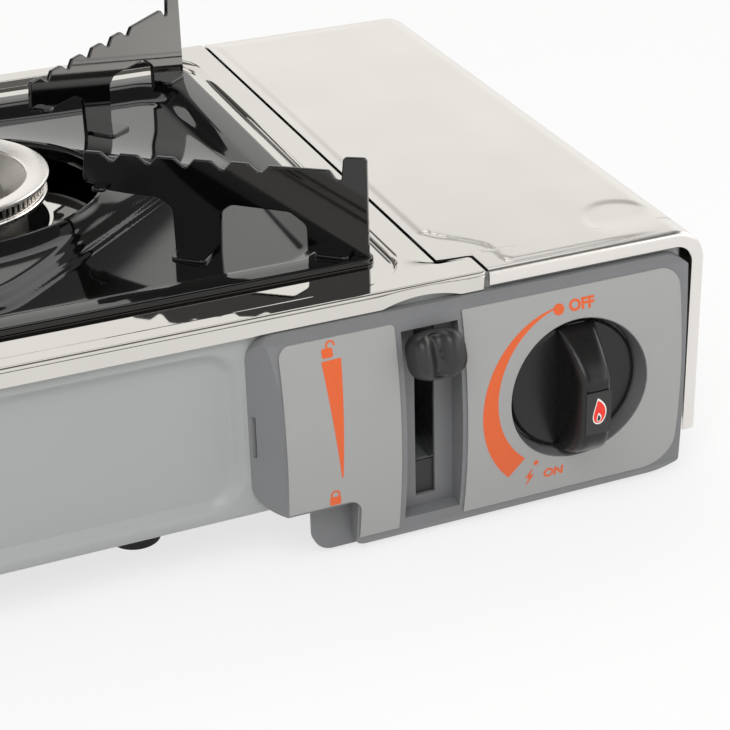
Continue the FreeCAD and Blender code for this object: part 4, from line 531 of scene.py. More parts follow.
def top_plate():
    """Skirt, rolled bead, flat margin, recess, well and hole, then the underside back to the skirt.

    Each ring is an outline moved inward by a distance at a height; the skirt's lower edge is low on the
    outer sides, short at the cartridge bay, and arched above the lever. The skirt's own rings are
    (inward distance, share of its height), the others (inward distance, drop).
    """
    base = plate_outline(0)
    inward = plate_outline(1.0) - base
    near = 0.7
    open_side = ((base[:, 0] > PLATE_RIGHT - near) & (base[:, 1] > PLATE_FRONT + near)
                 & (base[:, 1] < PLATE_REAR - near))
    arch = ARCH_RISE * np.clip(1 - ((base[:, 0] - LEVER_X) / ARCH_HALF) ** 2, 0, 1)
    low = np.where(open_side, PLATE_TOP - 1.0, SKIRT_BOTTOM + arch * (base[:, 1] < PLATE_FRONT + 1))
    skirt = ((0.05, 0.0), (0.05, 0.70), (0.12, 0.745), (0.30, 0.77), (0.10, 0.80), (0.0, 0.85), (0.10, 0.925),
             (0.32, 0.97), (0.62, 0.992), (1.1, 1.0))
    rings = []
    for inset, share in skirt:
        bead = np.where(open_side, inset * (share > 0.85), inset)
        rings.append(level(base + inward * bead[:, None], low + (PLATE_TOP - low) * share))
    for inset, drop in ((-1.4, 0), (-0.7, 0.04), (-0.1, 0.3), (0.5, 1.1), (0.9, 2.1), (1.3, 2.4), (2.2, 2.5)):
        rings.append(level(recess_outline(inset), PLATE_TOP - drop))
    for inset, drop in ((-1.2, 0), (-0.4, 0.15), (0.2, 0.8), (0.6, 2.9), (1.2, 3.5), (2.4, 3.7)):
        rings.append(level(well_outline(inset), RECESS_LEVEL - drop))
    loop = well_outline(6)
    rings.append(level(loop, WELL_LEVEL))
    for radius, drop in ((39.2, 0), (38.2, 0.0), (37.7, 0.2), (37.6, 0.6), (38.0, SHEET), (39.2, SHEET)):
        rings.append(level(burner_hole(loop, radius), WELL_LEVEL - drop))
    rings.append(level(loop, WELL_LEVEL - SHEET))
    for inset, drop in ((1.0, 4.5), (-0.2, 3.9), (-0.9, SHEET)):
        rings.append(level(well_outline(inset), RECESS_LEVEL - drop))
    for inset, drop in ((1.2, 3.3), (0.2, 2.6), (-0.5, 1.2), (-1.6, SHEET)):
        rings.append(level(recess_outline(inset), PLATE_TOP - drop))
    for inset, share in ((1.6, 1.0), (0.9, 0.96), (0.85, 0.0)):
        inside = np.where(open_side & (share < 0.5), 0.4, inset)
        height = np.where(open_side, PLATE_TOP - SHEET, low + (PLATE_TOP - SHEET - low) * share)
        rings.append(level(base + inward * inside[:, None], height))
    verts, faces = lofted(rings, wrap=True)
    weighted(mesh_piece("top_plate_sheet", verts, faces, MIRROR, "base", ("top_plate",)))


top_plate()


# Drip tray
LIP_X, LIP_Y, LIP_MEAN_R = 57.0, 48.6, 52.0         # oval lip round the burner
LIP_RISE, LIP_FLAT, LIP_FALL, LIP_TURN = 4.6, 1.4, 4.2, 0.9
CENTRE_RISE, CENTRE_HALF, FLANK_RUN, FLANK_DEG = 6.3, 52.6, 5.6, 48.0
POINT_RISE, POINT_FALL = 3.4, 16.0                  # what stays of the diamond's points beyond its flanks
BAND, BASIN_R, SIDE_RISE, SIDE_RUN = 10.0, 16.0, 4.7, 7.0
EDGE_BAND = 9.6                                     # turned edge and flat band


def ramp(t, ease=0.14):
    """0 to 1, straight in the middle with a short round at both ends."""
    t = np.asarray(t, float)
    low = (t + ease) ** 2 / (4 * ease)
    high = 1 - (1 + ease - t) ** 2 / (4 * ease)
    out = np.where(t < ease, low, np.where(t > 1 - ease, high, t))
    return np.where(t < -ease, 0.0, np.where(t > 1 + ease, 1.0, out))


def tray_height(x, y):
    """Height over the basin's floor: the higher of the side slope and the centre, with a soft join.

    The centre is a diamond whose four straight flanks face the corners, with an oval lip on it that falls
    away in a hollow curve; its points reach the side slopes, so each corner keeps its own basin.
    """
    dx, dy = np.abs(x - BURNER_X), np.abs(y - BURNER_Y)
    from_lip = (np.hypot(dx / LIP_X, dy / LIP_Y) - 1) * LIP_MEAN_R
    lip = LIP_RISE * np.exp(-(np.maximum(from_lip - LIP_FLAT, 0) / LIP_FALL) ** 1.25)
    lip -= LIP_TURN * (1 - ramp(from_lip / 1.5, 0.45))
    round_x, round_y = np.hypot(dx, 6) - 6, np.hypot(dy, 6) - 6
    across = round_x * math.cos(math.radians(FLANK_DEG)) + round_y * math.sin(math.radians(FLANK_DEG))
    centre = (CENTRE_RISE + lip) * (1 - ramp((across - CENTRE_HALF) / FLANK_RUN, 0.38))
    points = POINT_RISE * np.exp(-np.maximum(across - 58, 0) / POINT_FALL) * ramp((across - 53) / 5)
    centre = np.maximum(centre, 0) + points
    qx, qy = dx - TRAY_HALF_X + BAND + BASIN_R, dy - TRAY_HALF_Y + BAND + BASIN_R
    inside = BASIN_R - np.hypot(np.maximum(qx, 0), np.maximum(qy, 0)) - np.minimum(np.maximum(qx, qy), 0)
    side = SIDE_RISE * (1 - ramp(inside / SIDE_RUN, 0.3))
    return 0.5 * (side + centre + np.hypot(side - centre, 0.5)) - 0.25 * np.exp(-np.maximum(side, centre))


def tray_outline(inset):
    """Tray's edge moved inward; its corners, tight at the edge, open to the basin's radius."""
    corner = np.interp(inset, (0, 3, 5, EDGE_BAND), (3.4, 3.0, 4.5, BASIN_R))
    return rounded_loop(box_about(BURNER, TRAY_HALF_X, TRAY_HALF_Y), [corner + inset] * 4, inset, 20, 100)


def drip_tray():
    """Turned edge and flat band as rings, then a field from the band to the lip, and the underside."""
    edge = ((0.0, -2.0), (0.0, -0.8), (0.1, -0.4), (0.35, -0.12), (0.7, 0.0), (1.6, 0.0), (4.0, 0.0),
            (8.4, 0.0))
    rings = [level(tray_outline(inset), TRAY_TOP + z) for inset, z in edge]
    rim = tray_outline(EDGE_BAND)
    angle = np.arctan2(rim[:, 1] - BURNER_Y, rim[:, 0] - BURNER_X)
    lip = circle(BURNER, 1 / np.hypot(np.cos(angle) / LIP_X, np.sin(angle) / LIP_Y), angle)

    def field(shares, drop):
        """Rings at shares of the way from the band to the lip."""
        for share in shares:
            loop = rim + (lip - rim) * share
            rings.append(level(loop, TRAY_FLOOR + tray_height(loop[:, 0], loop[:, 1]) - drop))

    field(np.concatenate([np.linspace(0, 0.86, 62), np.linspace(0.87, 1, 14)]), 0)
    for share, z in ((0.995, 9.6), (0.992, 5.4), (1.008, 5.4), (1.012, 8.4)):
        rings.append(level(BURNER + (lip - BURNER) * share, TRAY_FLOOR + z))
    field(np.concatenate([np.linspace(0.96, 0.8, 8), np.linspace(0.76, 0, 24)]), SHEET)
    for inset, z in ((4.0, -1.1), (2.0, -0.8), (0.9, -1.1), (0.8, -2.0)):
        rings.append(level(tray_outline(inset), TRAY_TOP + z))
    verts, faces = lofted(rings, wrap=True)
    mesh_piece("drip_tray_enamel", verts, faces, ENAMEL, "tray", ("drip_tray",), 50)


drip_tray()


# Pan supports
NOTCHES, NOTCH_FIRST, NOTCH_PITCH = 5, 0.986, 0.130   # shares of the reach, from the outer end
NOTCH_RISE, NOTCH_CLIMB, NOTCH_DEEP = 0.788, 0.009, 0.074
SEAT = TRAY_TOP - 0.3       # outer feet stand just below the band's top
WELD = 0.2                  # flanges start inside the sheet
FLANGES = (                 # middle as a share of the reach, width, depth, underside, corner and edge radii
    (0.59809, 12.5, 11.0, TRAY_FLOOR, 2.0, 0.5), (0.11735, 12.0, 5.5, SEAT, 2.0, 0.5),
    (0.93, 0.05 * SUPPORT_REACH, 4.6, 107.6, 1.8, 0.6))


def support_outline():
    """Side view as the part has it: shares of the reach, from the outer end, and of the rise, with radii."""
    shape = []
    for i in range(NOTCHES):
        share, rise = NOTCH_FIRST - NOTCH_PITCH * i, NOTCH_RISE + NOTCH_CLIMB * i
        shape += [(share, rise, 0.9), (share - 0.060, rise + 0.003, 2.2),
                  (share - 0.093, rise - NOTCH_DEEP, 1.2), (share - 0.105, rise - NOTCH_DEEP, 0.9)]
    band = (SEAT - PLATE_TOP) / SUPPORT_RISE
    floor = (TRAY_FLOOR - PLATE_TOP) / SUPPORT_RISE
    shape += [(0.336, 0.824, 1.2), (0.127, 0.841, 2.0), (0.106, 0.750, 1.4), (0.088, 0.750, 1.2),
              (0.080, 0.985, 1.4), (0.0, 1.0, 1.4), (0.0, band, 0.4), (0.213, band, 0.4), (0.213, 0.254, 3.0),
              (0.270, 0.372, 4.0), (0.474, 0.384, 4.0), (0.509, 0.300, 3.0), (0.516, floor, 0.4),
              (0.681, floor, 0.4), (0.682, 0.296, 3.0), (0.735, 0.386, 4.0), (0.840, 0.388, 4.0),
              (0.925, 0.405, 3.0), (0.955, 0.455, 1.0), (1.0, 0.462, 2.0)]
    table = np.array(shape)[::-1]
    corners = np.stack([SUPPORT_END - table[:, 0] * SUPPORT_REACH, PLATE_TOP + table[:, 1] * SUPPORT_RISE], 1)
    return corners, table[:, 2]


def pan_support(number, turn_deg):
    """The outline carried across the sheet's thickness with rounded edges, and its three welded flanges."""
    corners, radii = support_outline()
    half = SUPPORT_T / 2
    parts = [lofted([standing(rounded_loop(corners, radii, inset, 5, 1), across) for inset, across in
                     ((0.5, -half), (0.2, -0.72), (0.0, -0.45), (0.0, 0.45), (0.2, 0.72), (0.5, half))])]
    for share, width, deep, low, corner, edge in FLANGES:
        x = SUPPORT_END - share * SUPPORT_REACH - width / 2
        parts.append(pillow_block(x, x + width, -deep, -WELD, low, low + SUPPORT_T, corner, edge))
    verts, faces = combined(parts)
    a = math.radians(turn_deg)
    x, y, z = verts.T
    placed = np.stack([BURNER_X + x * math.cos(a) - y * math.sin(a),
                       BURNER_Y + x * math.sin(a) + y * math.cos(a), z], 1)
    name = "pan_support_%d" % number
    weighted(mesh_piece(name + "_enamel", placed, faces, ENAMEL, "tray", (name,), 50))


support_turns = (-SUPPORT_DEG, SUPPORT_DEG, 180 - SUPPORT_DEG, 180 + SUPPORT_DEG)
for support_number, support_turn in enumerate(support_turns):
    pan_support(support_number + 1, support_turn)


# Burner
PORTS, PORT_STEPS, PORT_WALL, PORT_DEEP = 84, 8, 3, 1.8     # ports, steps of one, steps of its wall, depth
RING_PROFILE = (            # radius, height over the burner's top, depth of the ports there
    (31.0, -7.6, 0), (38.0, -7.6, 0), (38.0, -6.5, 0), (37.7, -6.1, 0), (37.0, -5.9, 0), (37.0, -5.5, 0),
    (37.0, -5.4, PORT_DEEP), (37.0, -1.9, PORT_DEEP), (37.0, -1.8, 0), (37.0, -1.45, 0), (38.7, -1.4, 0),
    (39.0, -1.1, 0), (39.0, -0.5, 0), (38.5, -0.1, 0), (37.8, 0, 0), (33.0, -0.7, 0), (31.6, -1.0, 0),
    (31.1, -1.5, 0), (31.0, -2.2, 0))


def flame_ring():
    """Turned ring: between its flange and its cap the side falls back in upright ports, backed by a
    near-black band of painted shade.
    """
    angle = full_turn(PORTS * PORT_STEPS)
    port = np.arange(len(angle)) % PORT_STEPS >= PORT_WALL
    rings = [level(circle(BURNER, r - deep * port, angle), BURNER_TOP + z) for r, z, deep in RING_PROFILE]
    verts, faces = lofted(rings, wrap=True)
    mesh_piece("flame_ring", verts, faces, TURNED, "base", ("burner_head",), 30)
    # Near-black band showing through the backs of the ports: painted shade where their recesses fall in
    # shadow
    lining = [level(circle(BURNER, r, angle), BURNER_TOP + z)
              for r, z in ((34.0, -5.6), (35.9, -5.6), (35.9, -1.7), (34.0, -1.7))]
    verts, faces = lofted(lining, wrap=True)
    mesh_piece("flame_port_shade", verts, faces, PORT_SHADE, "base")


flame_ring()
softened("burner_dish_cast", "burner_dish", 0.6)


# Lid
PRESSED_RISE, THUMB_DEEP = 0.32, 0.3                # raised field and thumb hollow
PRESSED_LEFT, PRESSED_STEP, PRESSED_FRONT = 4.0, 20.5, -111.0
PRESSED_EDGE = ((PRESSED_LEFT, 200.0), (PRESSED_LEFT, -78.0), (8.0, -84.0), (14.5, -89.5), (19.0, -95.0),
                (PRESSED_STEP, -99.0), (PRESSED_STEP, -107.5), (23.5, PRESSED_FRONT), (200.0, PRESSED_FRONT))


def lid_point(s, depth):
    """X and Z at arc length s along the lid's bent section, sunk by depth: flat, quarter circle, upright."""
    flat = LID_RIGHT - LID_R - LID_LEFT
    bend = LID_R * math.pi / 2
    a = np.clip((s - flat) / LID_R, 0, math.pi / 2)
    x = LID_LEFT + np.minimum(s, flat) + (LID_R - depth) * np.sin(a)
    z = PLATE_TOP - LID_R + (LID_R - depth) * np.cos(a) - np.maximum(s - flat - bend, 0)
    return x, z


def distance_to_line(x, y, points):
    """Distance of each grid point to an open polyline, the least over its segments."""
    best = np.full(x.shape, np.inf)
    for (ax, ay), (bx, by) in zip(points[:-1], points[1:]):
        dx, dy = bx - ax, by - ay
        t = np.clip(((x - ax) * dx + (y - ay) * dy) / (dx * dx + dy * dy), 0, 1)
        best = np.minimum(best, np.hypot(x - ax - t * dx, y - ay - t * dy))
    return best


def lid_relief(s, y):
    """Height of the pressing: a raised field whose edge steps round the tab and fades before the shoulder,
    and a shallow thumb hollow at the front."""
    inside = (s > PRESSED_STEP) | (y > -78) & (s > PRESSED_LEFT) | (y > -89.5 - (s - 14.5) * 1.25) & (s > 7)
    inside &= y > PRESSED_FRONT
    gap = distance_to_line(s, y, PRESSED_EDGE)
    field = smooth_step((np.where(inside, gap, -gap) + 1.5) / 3.0)
    field *= (1 - smooth_step((s - 58) / 26)) * smooth_step((PLATE_REAR - 3 - y) / 6)
    thumb = np.hypot((s - 73) / 14.0, (y + 97) / 16.0)
    hollow = smooth_step((1.1 - thumb) / 0.3) * smooth_step((y + 108) / 14)
    return PRESSED_RISE * field - THUMB_DEEP * hollow


def lid():
    """Bent sheet: one parameter runs along the section, the other over both rims and the length between.

    The section starts later where the plate's tab takes the lid's front left corner. The grid is finest
    where the pressing is.
    """
    total = LID_RIGHT - LID_R - LID_LEFT + LID_R * math.pi / 2 + PLATE_TOP - LID_R - LID_BOTTOM
    s_lines = np.concatenate([np.arange(0, 26, 0.6), np.arange(26, 58, 1.6), np.arange(58, 106, 1.0),
                              np.linspace(106, total - 1, 22), [total - 0.4, total]])
    rim_in, rim_deep = np.array([(0.0, LID_RIM), (0.0, 2.4), (0.08, 1.5), (0.35, 0.8), (0.8, 0.35),
                                 (1.5, 0.08), (2.4, 0.0)]).T
    middle = np.concatenate([np.arange(PLATE_FRONT + 3, -74, 0.6), np.arange(-74, PLATE_REAR - 14, 3.0),
                             np.arange(PLATE_REAR - 13.5, PLATE_REAR - 2.6, 0.9)])
    y_lines = np.concatenate([PLATE_FRONT + rim_in, middle, PLATE_REAR - rim_in[::-1]])
    depth = np.concatenate([rim_deep, np.zeros(len(middle)), rim_deep[::-1]])
    notch_s, notch_y = TAB_RIGHT + LID_GAP - LID_LEFT, TAB_REAR + LID_GAP
    start = notch_s * smooth_step((notch_y + 0.8 - y_lines) / 1.6)
    s = start + (total - start) * (s_lines / total)[:, None]
    y = np.broadcast_to(y_lines, s.shape)
    x, z = lid_point(s, depth - lid_relief(s, y) * smooth_step(1.0 - depth))
    outer = np.stack([x, y, z], -1)
    inward = np.cross(np.gradient(outer, axis=1), np.gradient(outer, axis=0))
    inward /= np.linalg.norm(inward, axis=-1, keepdims=True)
    parts = [closed_sheet(outer, outer + inward * SHEET)]
    ear = rounded_loop(rectangle(HINGE_X - 1.7, LID_RIGHT - 0.5, LID_BOTTOM + 0.4, HINGE_Z + 6),
                       (1.4, 0.2, 0.2, 1.2), 0, 6, 1)
    for ear_y in (BODY_FRONT + 6.0, BODY_REAR - 7.5):
        parts.append(lofted([standing(ear, ear_y), standing(ear, ear_y + 1.5)]))
    verts, faces = combined(parts)
    mesh_piece("lid_sheet", verts, faces, SATIN, "lid", ("lid",), 40)


lid()


# Body pan
VENT_PITCH, VENT_W, VENT_HALF = 30.0, 8.0, 30.0
REAR_VENT_W, REAR_VENT_LOW, REAR_VENT_TOP = 18.0, 60.0, 66.0


def body_outline(inset):
    """Pan outline, with many points along the front for its recessed field."""
    corners = rectangle(BODY_LEFT, BODY_RIGHT, BODY_FRONT, BODY_REAR)
    radii = BODY_LEFT_R, BODY_RIGHT_R, BODY_RIGHT_R, BODY_LEFT_R
    return rounded_loop(corners, radii, inset, (10, 6, 6, 10), (230, 24, 40, 24))


def field_depth(x, z):
    """Depth of the front's sunk field: full inside a rounded rectangle, with walls sloping over 3.8 mm."""
    dx = np.abs(x - FIELD_X) - FIELD_HALF_X + FIELD_R
    dz = np.abs(z - FIELD_Z) - FIELD_HALF_Z + FIELD_R
    outside = np.hypot(np.maximum(dx, 0), np.maximum(dz, 0)) + np.minimum(np.maximum(dx, dz), 0) - FIELD_R
    return FIELD_DEPTH * smooth_step((0.4 - outside) / 3.8)


def body_wall(inset, z):
    """One ring of the wall, its front pushed back where the field is sunk."""
    loop = body_outline(inset)
    front = loop[:, 1] < BODY_FRONT + inset + 0.01
    loop[:, 1] += np.where(front, field_depth(loop[:, 0], z), 0)
    return level(loop, z)


def cut_by(piece, parts):
    """Takes solids out of a piece."""
    cutter = new_object("cutter", outward_mesh("cutter", *combined(parts)))
    modifier = piece.modifiers.new("opening", "BOOLEAN")
    modifier.object = cutter
    modifier.operation = "DIFFERENCE"
    modifier.solver = "EXACT"
    settle(piece, 35)
    bpy.data.objects.remove(cutter)


def straight_block(x0, x1, y0, y1, z0, z1, corner=LEAST_R):
    """Plain block for cutting, its upright edges rounded by corner."""
    loop = rounded_loop(rectangle(x0, x1, y0, y1), [corner] * 4, 0, 6, 1)
    return lofted([level(loop, z0), level(loop, z1)])


def lying_slot(x0, x1, z0, z1, y0, y1, corner):
    """The same lying along Y: for slots in an upright wall."""
    loop = rounded_loop(rectangle(x0, x1, z0, z1), [corner] * 4, 0, 6, 1)
    return lofted([standing(loop, y0), standing(loop, y1)])


def body_pan():
    """Closed pressing: floor edge, wall, top edge, inner wall and inner floor, then its openings cut."""
    heights = np.concatenate([np.linspace(23.4, 33, 9), np.linspace(34.5, 73, 12), np.linspace(74.5, 86, 11),
                              [88.5, PLATE_TOP - SHEET]])
    rings = [level(body_outline(inset), BODY_FLOOR + z)
             for inset, z in ((3.4, 0), (1.8, 0.3), (0.7, 1.1), (0.15, 2.4))]
    rings += [body_wall(0, z) for z in heights] + [body_wall(SHEET, z) for z in heights[::-1]]
    rings += [level(body_outline(SHEET + inset), BODY_FLOOR + z) for inset, z in ((0.4, 2.2), (3, SHEET))]
    verts, faces = lofted(rings)
    piece = mesh_piece("body_pan", verts, faces, PAINT, "base", ("body_shell",), 40)
    front, rear = BODY_FRONT - 1, BODY_REAR + 1
    # Walls of the cartridge bay: lower than the plate, the right one low, the end ones sloped at the shoulder
    cut_by(piece, [straight_block(PLATE_RIGHT, BODY_RIGHT + 1, front, rear, PLATE_TOP - 1.4, PLATE_TOP + 1)])
    cut_by(piece, [straight_block(BODY_RIGHT - 1.8, BODY_RIGHT + 1, BODY_FRONT + 4, BODY_REAR - 4,
                                  LOW_WALL_TOP, PLATE_TOP)])
    slope = np.array([(BODY_RIGHT + 1, 84.0), (BODY_RIGHT + 1, PLATE_TOP), (BODY_RIGHT - 6, PLATE_TOP)])
    cut_by(piece, [lofted([standing(slope, front), standing(slope, rear)])])
    # Opening behind the panel for the lever and the regulator
    cut_by(piece, [lying_slot(LEVER_X - 10.1, 165.4, 26.8, 80.5, front, BODY_FRONT + 1.8, 2.0)])
    vents = []
    for x in BURNER_X + VENT_PITCH * np.arange(-2, 3):
        vents.append(straight_block(x - VENT_W / 2, x + VENT_W / 2, BURNER_Y - VENT_HALF,
                                    BURNER_Y + VENT_HALF, BODY_FLOOR - 1, BODY_FLOOR + 2, 3.9))
    for x in BURNER_X + VENT_PITCH * (np.arange(6) - 2.5):
        vents.append(lying_slot(x - REAR_VENT_W / 2, x + REAR_VENT_W / 2, REAR_VENT_LOW, REAR_VENT_TOP,
                                BODY_REAR - 2, BODY_REAR + 1, 2.9))
    cut_by(piece, vents)
    weighted(piece)


body_pan()


# Control panel, knob and lever
softened("control_panel_moulding", "control_panel", 0.9)

DISC_FRONT = BODY_FRONT - 7.0
DISC_PROFILE = (            # radius, distance behind the disc's front
    (6.9, 13.4), (6.9, 3.0), (21.5, 3.0), (23.0, 2.8), (23.6, 2.2), (23.8, 1.4), (23.7, 0.8), (23.3, 0.3),
    (22.6, 0.05), (21.6, 0.0), (8.0, -0.2))
GRIP_TOP, GRIP_RISE, GRIP_HALF, GRIP_FLARE, GRIP_SUNK = 22.9, 17.9, 6.7, 0.6, 0.4
GRIP_SLOPE_FROM, GRIP_SLOPE, GRIP_FOOT_FROM, GRIP_FOOT = 7.4, 15.8, -11.0, 11.9
PAD_HALF_X, PAD_HALF_V, PAD_OUT, PAD_DOME = 9.8, 8.2, 58.2, 7.3     # thumb pad; outward from the lever's pin
VALLEY_DEEP, VALLEY_X, VALLEY_W = 3.6, -1.0, 3.1
SHIELD_LOW, SHIELD_TOP = 3.5, 27.2


def gas_knob():
    """Knob: a turned disc with a hub behind it, and a grip standing on it.

    The grip is a field over (x, v): its height along the knob times (1 - |x/w|^6)^(1/2.3), which rounds its
    long edges; the height rises over 16 mm at the top, stays flat, and falls as a quarter ellipse below.
    """
    angle = full_turn(144)
    disc = lofted([standing(circle(KNOB, r, angle), DISC_FRONT + back) for r, back in DISC_PROFILE])
    v = np.concatenate([np.linspace(GRIP_TOP, 4, 40), np.linspace(3, -9, 8),
                        GRIP_FOOT_FROM - (GRIP_FOOT - 0.1) * np.sin(np.linspace(0, 1, 26) * math.pi / 2)])
    slope = (1 - ((v - GRIP_SLOPE_FROM) / GRIP_SLOPE).clip(0, 1) ** 1.55) ** 0.9
    foot = np.sqrt(np.clip(1 - ((v - GRIP_FOOT_FROM) / GRIP_FOOT) ** 2, 0, 1))
    rise = GRIP_RISE * np.where(v < GRIP_FOOT_FROM, foot, slope) + GRIP_SUNK
    side = np.sin(np.linspace(-1, 1, 37) * math.pi / 2)
    wide = GRIP_HALF + GRIP_FLARE * ((v - 8) / 15).clip(0, 1)
    x = wide[:, None] * side
    high = rise[:, None] * (1 - np.abs(side) ** 6) ** (1 / 2.3) - GRIP_SUNK
    front = np.stack([KNOB_X + x, DISC_FRONT - high, KNOB_Z + np.broadcast_to(v[:, None], x.shape)], -1)
    back = front.copy()
    back[..., 1] = DISC_FRONT + 1.0
    verts, faces = combined([disc, closed_sheet(front, back)])
    mesh_piece("knob_moulding", verts, faces, KNOB_BLACK, "knob", ("knob",), 50)


def lever_pad():
    """Thumb pad: a rounded block whose front is two lobes with a valley between, square to the lever.

    Rings shrink from the outline |x/a|^3 + |v/b|^3 = 1 to a point while they rise as a cube-rounded dome;
    the valley is a bell across x taken off the dome, and the right lobe is 0.5 mm lower.
    """
    t = full_turn(72)
    across = PAD_HALF_X * np.sign(np.cos(t)) * np.abs(np.cos(t)) ** (2 / 3)
    upward = PAD_HALF_V * np.sign(np.sin(t)) * np.abs(np.sin(t)) ** (2 / 3)
    rings = [(across * share, upward * share, np.full(len(t), out)) for share, out in
             ((0.9, PAD_OUT - 3.7), (0.97, PAD_OUT - 3.2), (1.0, PAD_OUT - 2.2), (1.0, PAD_OUT))]
    for share in np.concatenate([np.linspace(0.995, 0.8, 9), np.linspace(0.74, 0.04, 14)]):
        x = across * share
        dome = PAD_OUT + PAD_DOME * (1 - share ** 3) ** (1 / 2.4)
        valley = VALLEY_DEEP * np.exp(-((x - VALLEY_X) / VALLEY_W) ** 2) * smooth_step((1 - share) / 0.22)
        rings.append((x, upward * share, dome - valley - 0.5 * (x > 0) * smooth_step((1 - share) / 0.3)))
    up = math.radians(LEVER_UP)
    loops = [np.stack([LEVER_X + x, LEVER_Y - w * math.cos(up) + v * math.sin(up),
                       LEVER_Z + w * math.sin(up) + v * math.cos(up)], 1) for x, v, w in rings]
    verts, faces = lofted(loops)
    mesh_piece("lever_thumb_pad", verts, faces, LEVER_ABS, "lever", ("lever_knob",), 60)


def slot_shield():
    """Plate behind the foot of the lever's slot, so that no light comes through from under the stove."""
    verts, faces = pillow_block(LEVER_X - 6.5, LEVER_X + 6.5, BODY_FRONT - 1.2, BODY_FRONT - 0.4,
                                SHIELD_LOW, SHIELD_TOP, 0.3, 0.2)
    mesh_piece("slot_shield", verts, faces, LEVER_ABS, "base")


gas_knob()
lever_pad()
slot_shield()


# Printing: places are X and Z
FACE_LIFT = 0.62            # ink in front of the panel's face, on its printed plates
INK_HALF = 0.03
WEDGE = (41.3, 76.3), (45.9, 34.3), (46.4, 34.3), (48.1, 76.6), (44.7, 76.5)
PADLOCKS = (("open_lock_print", 80.5, 3.744, 0.34), ("shut_lock_print", 27.4, 3.888, 0))
PADLOCK_X = 43.6
FLOW_FROM_DEG, FLOW_DEG, FLOW_R, FLOW_GROW, FLOW_THIN, FLOW_WIDEN = 103.0, 125.0, 32.2, 2.2, 0.25, 8.6
SPARK = (0.9, 3.6), (-1.6, -0.3), (-0.2, -0.2), (-1.3, -3.6), (1.7, 0.7), (0.25, 0.6)
SPARK_AT, SPARK_SCALE = (115.4, 15.8), 1.05
OFF_DOT, SPARK_DOT = ((126.0, 77.2), 2.0), ((117.4, 21.4), 0.95)
WORDS = (("off_print", "OFF", 5.4, (134.6, 77.4)), ("on_print", "ON", 4.8, (124.6, 15.6)))
FLAME_LAYERS = (            # name, scale, move up, ink, lift over the first
    ("flame_white", 5.0, 0.0, WHITE, 0.0), ("flame_red", 4.3, 0.0, RED, 0.016),
    ("flame_heart_white", 1.75, -1.5, WHITE, 0.032), ("flame_heart", 1.15, -1.6, LABEL_BLACK, 0.048))
FLAME_DOWN, FLAME_SUNK = 2.6, 0.09


def bow(z):
    """How far the panel's face stands ahead of the body at a height: the circle through its three lines."""
    (p1, z1), (p2, z2), (p3, z3) = BOW_LINES
    m = np.array([[z2 - z1, p2 - p1], [z3 - z2, p3 - p2]])
    v = np.array([z2 ** 2 - z1 ** 2 + p2 ** 2 - p1 ** 2, z3 ** 2 - z2 ** 2 + p3 ** 2 - p2 ** 2]) / 2
    zc, pc = np.linalg.solve(m, v)
    return pc + np.sqrt((z1 - zc) ** 2 + (p1 - pc) ** 2 - (z - zc) ** 2)


def ink_piece(name, curve, ink, body, surface, at=(0.0, 0.0)):
    """A filled flat curve moved to a place and laid on a surface given as Y by height."""
    curve.dimensions = "2D"
    curve.fill_mode = "BOTH"
    curve.extrude = INK_HALF
    flat = new_object(name + "_flat", curve)
    data = evaluated_mesh(flat)
    bpy.data.objects.remove(flat)
    co = np.zeros(len(data.vertices) * 3)
    data.vertices.foreach_get("co", co)
    x, z, thick = (co.reshape(-1, 3) + (*at, 0.0)).T
    mesh_piece(name, np.stack([x, surface(z) - thick, z], 1), [list(p.vertices) for p in data.polygons],
               ink, body)


def flat_curve(outline):
    """Filled curve from a closed outline in millimetres."""
    curve = bpy.data.curves.new("flat", "CURVE")
    spline = curve.splines.new("POLY")
    spline.points.add(len(outline) - 1)
    flat = np.zeros(len(outline))
    spline.points.foreach_set("co", np.column_stack([outline, flat, flat + 1]).ravel())
    spline.use_cyclic_u = True
    return curve


def lettering(text, size):
    """Plain sans letters, thickened, with their middle at the origin."""
    curve = bpy.data.curves.new("letters", "FONT")
    curve.body = text
    curve.size = size
    curve.offset = 0.04 * size
    curve.align_x = "CENTER"
    curve.align_y = "CENTER"
    return curve


def thick_line(points, width):
    """Closed outline of a polyline of some width, moved to both sides along its normals."""
    along = np.gradient(points, axis=0)
    along /= np.linalg.norm(along, axis=1)[:, None]
    side = np.stack([-along[:, 1], along[:, 0]], 1) * width / 2
    return np.concatenate([points + side, (points - side)[::-1]])


def padlock(x, z, width, shift):
    """Outlines of a sign: a square body, and a round shackle that is moved aside and up where it is open."""
    half, bow_r = width / 2, 0.34 * width
    body = rounded_loop(rectangle(x - half, x + half, z - 0.85 * width, z), [0.18 * width] * 4, 0, 5, 3)
    cx = x + shift * width
    foot = z + 0.12 * width if shift else z - 0.1
    arch = circle((cx, z + 0.22 * width), bow_r, np.linspace(0, math.pi, 24))
    points = np.concatenate([[(cx + bow_r, foot)], arch, [(cx - bow_r, z - 0.1)]])
    return body, thick_line(points, 0.17 * width)


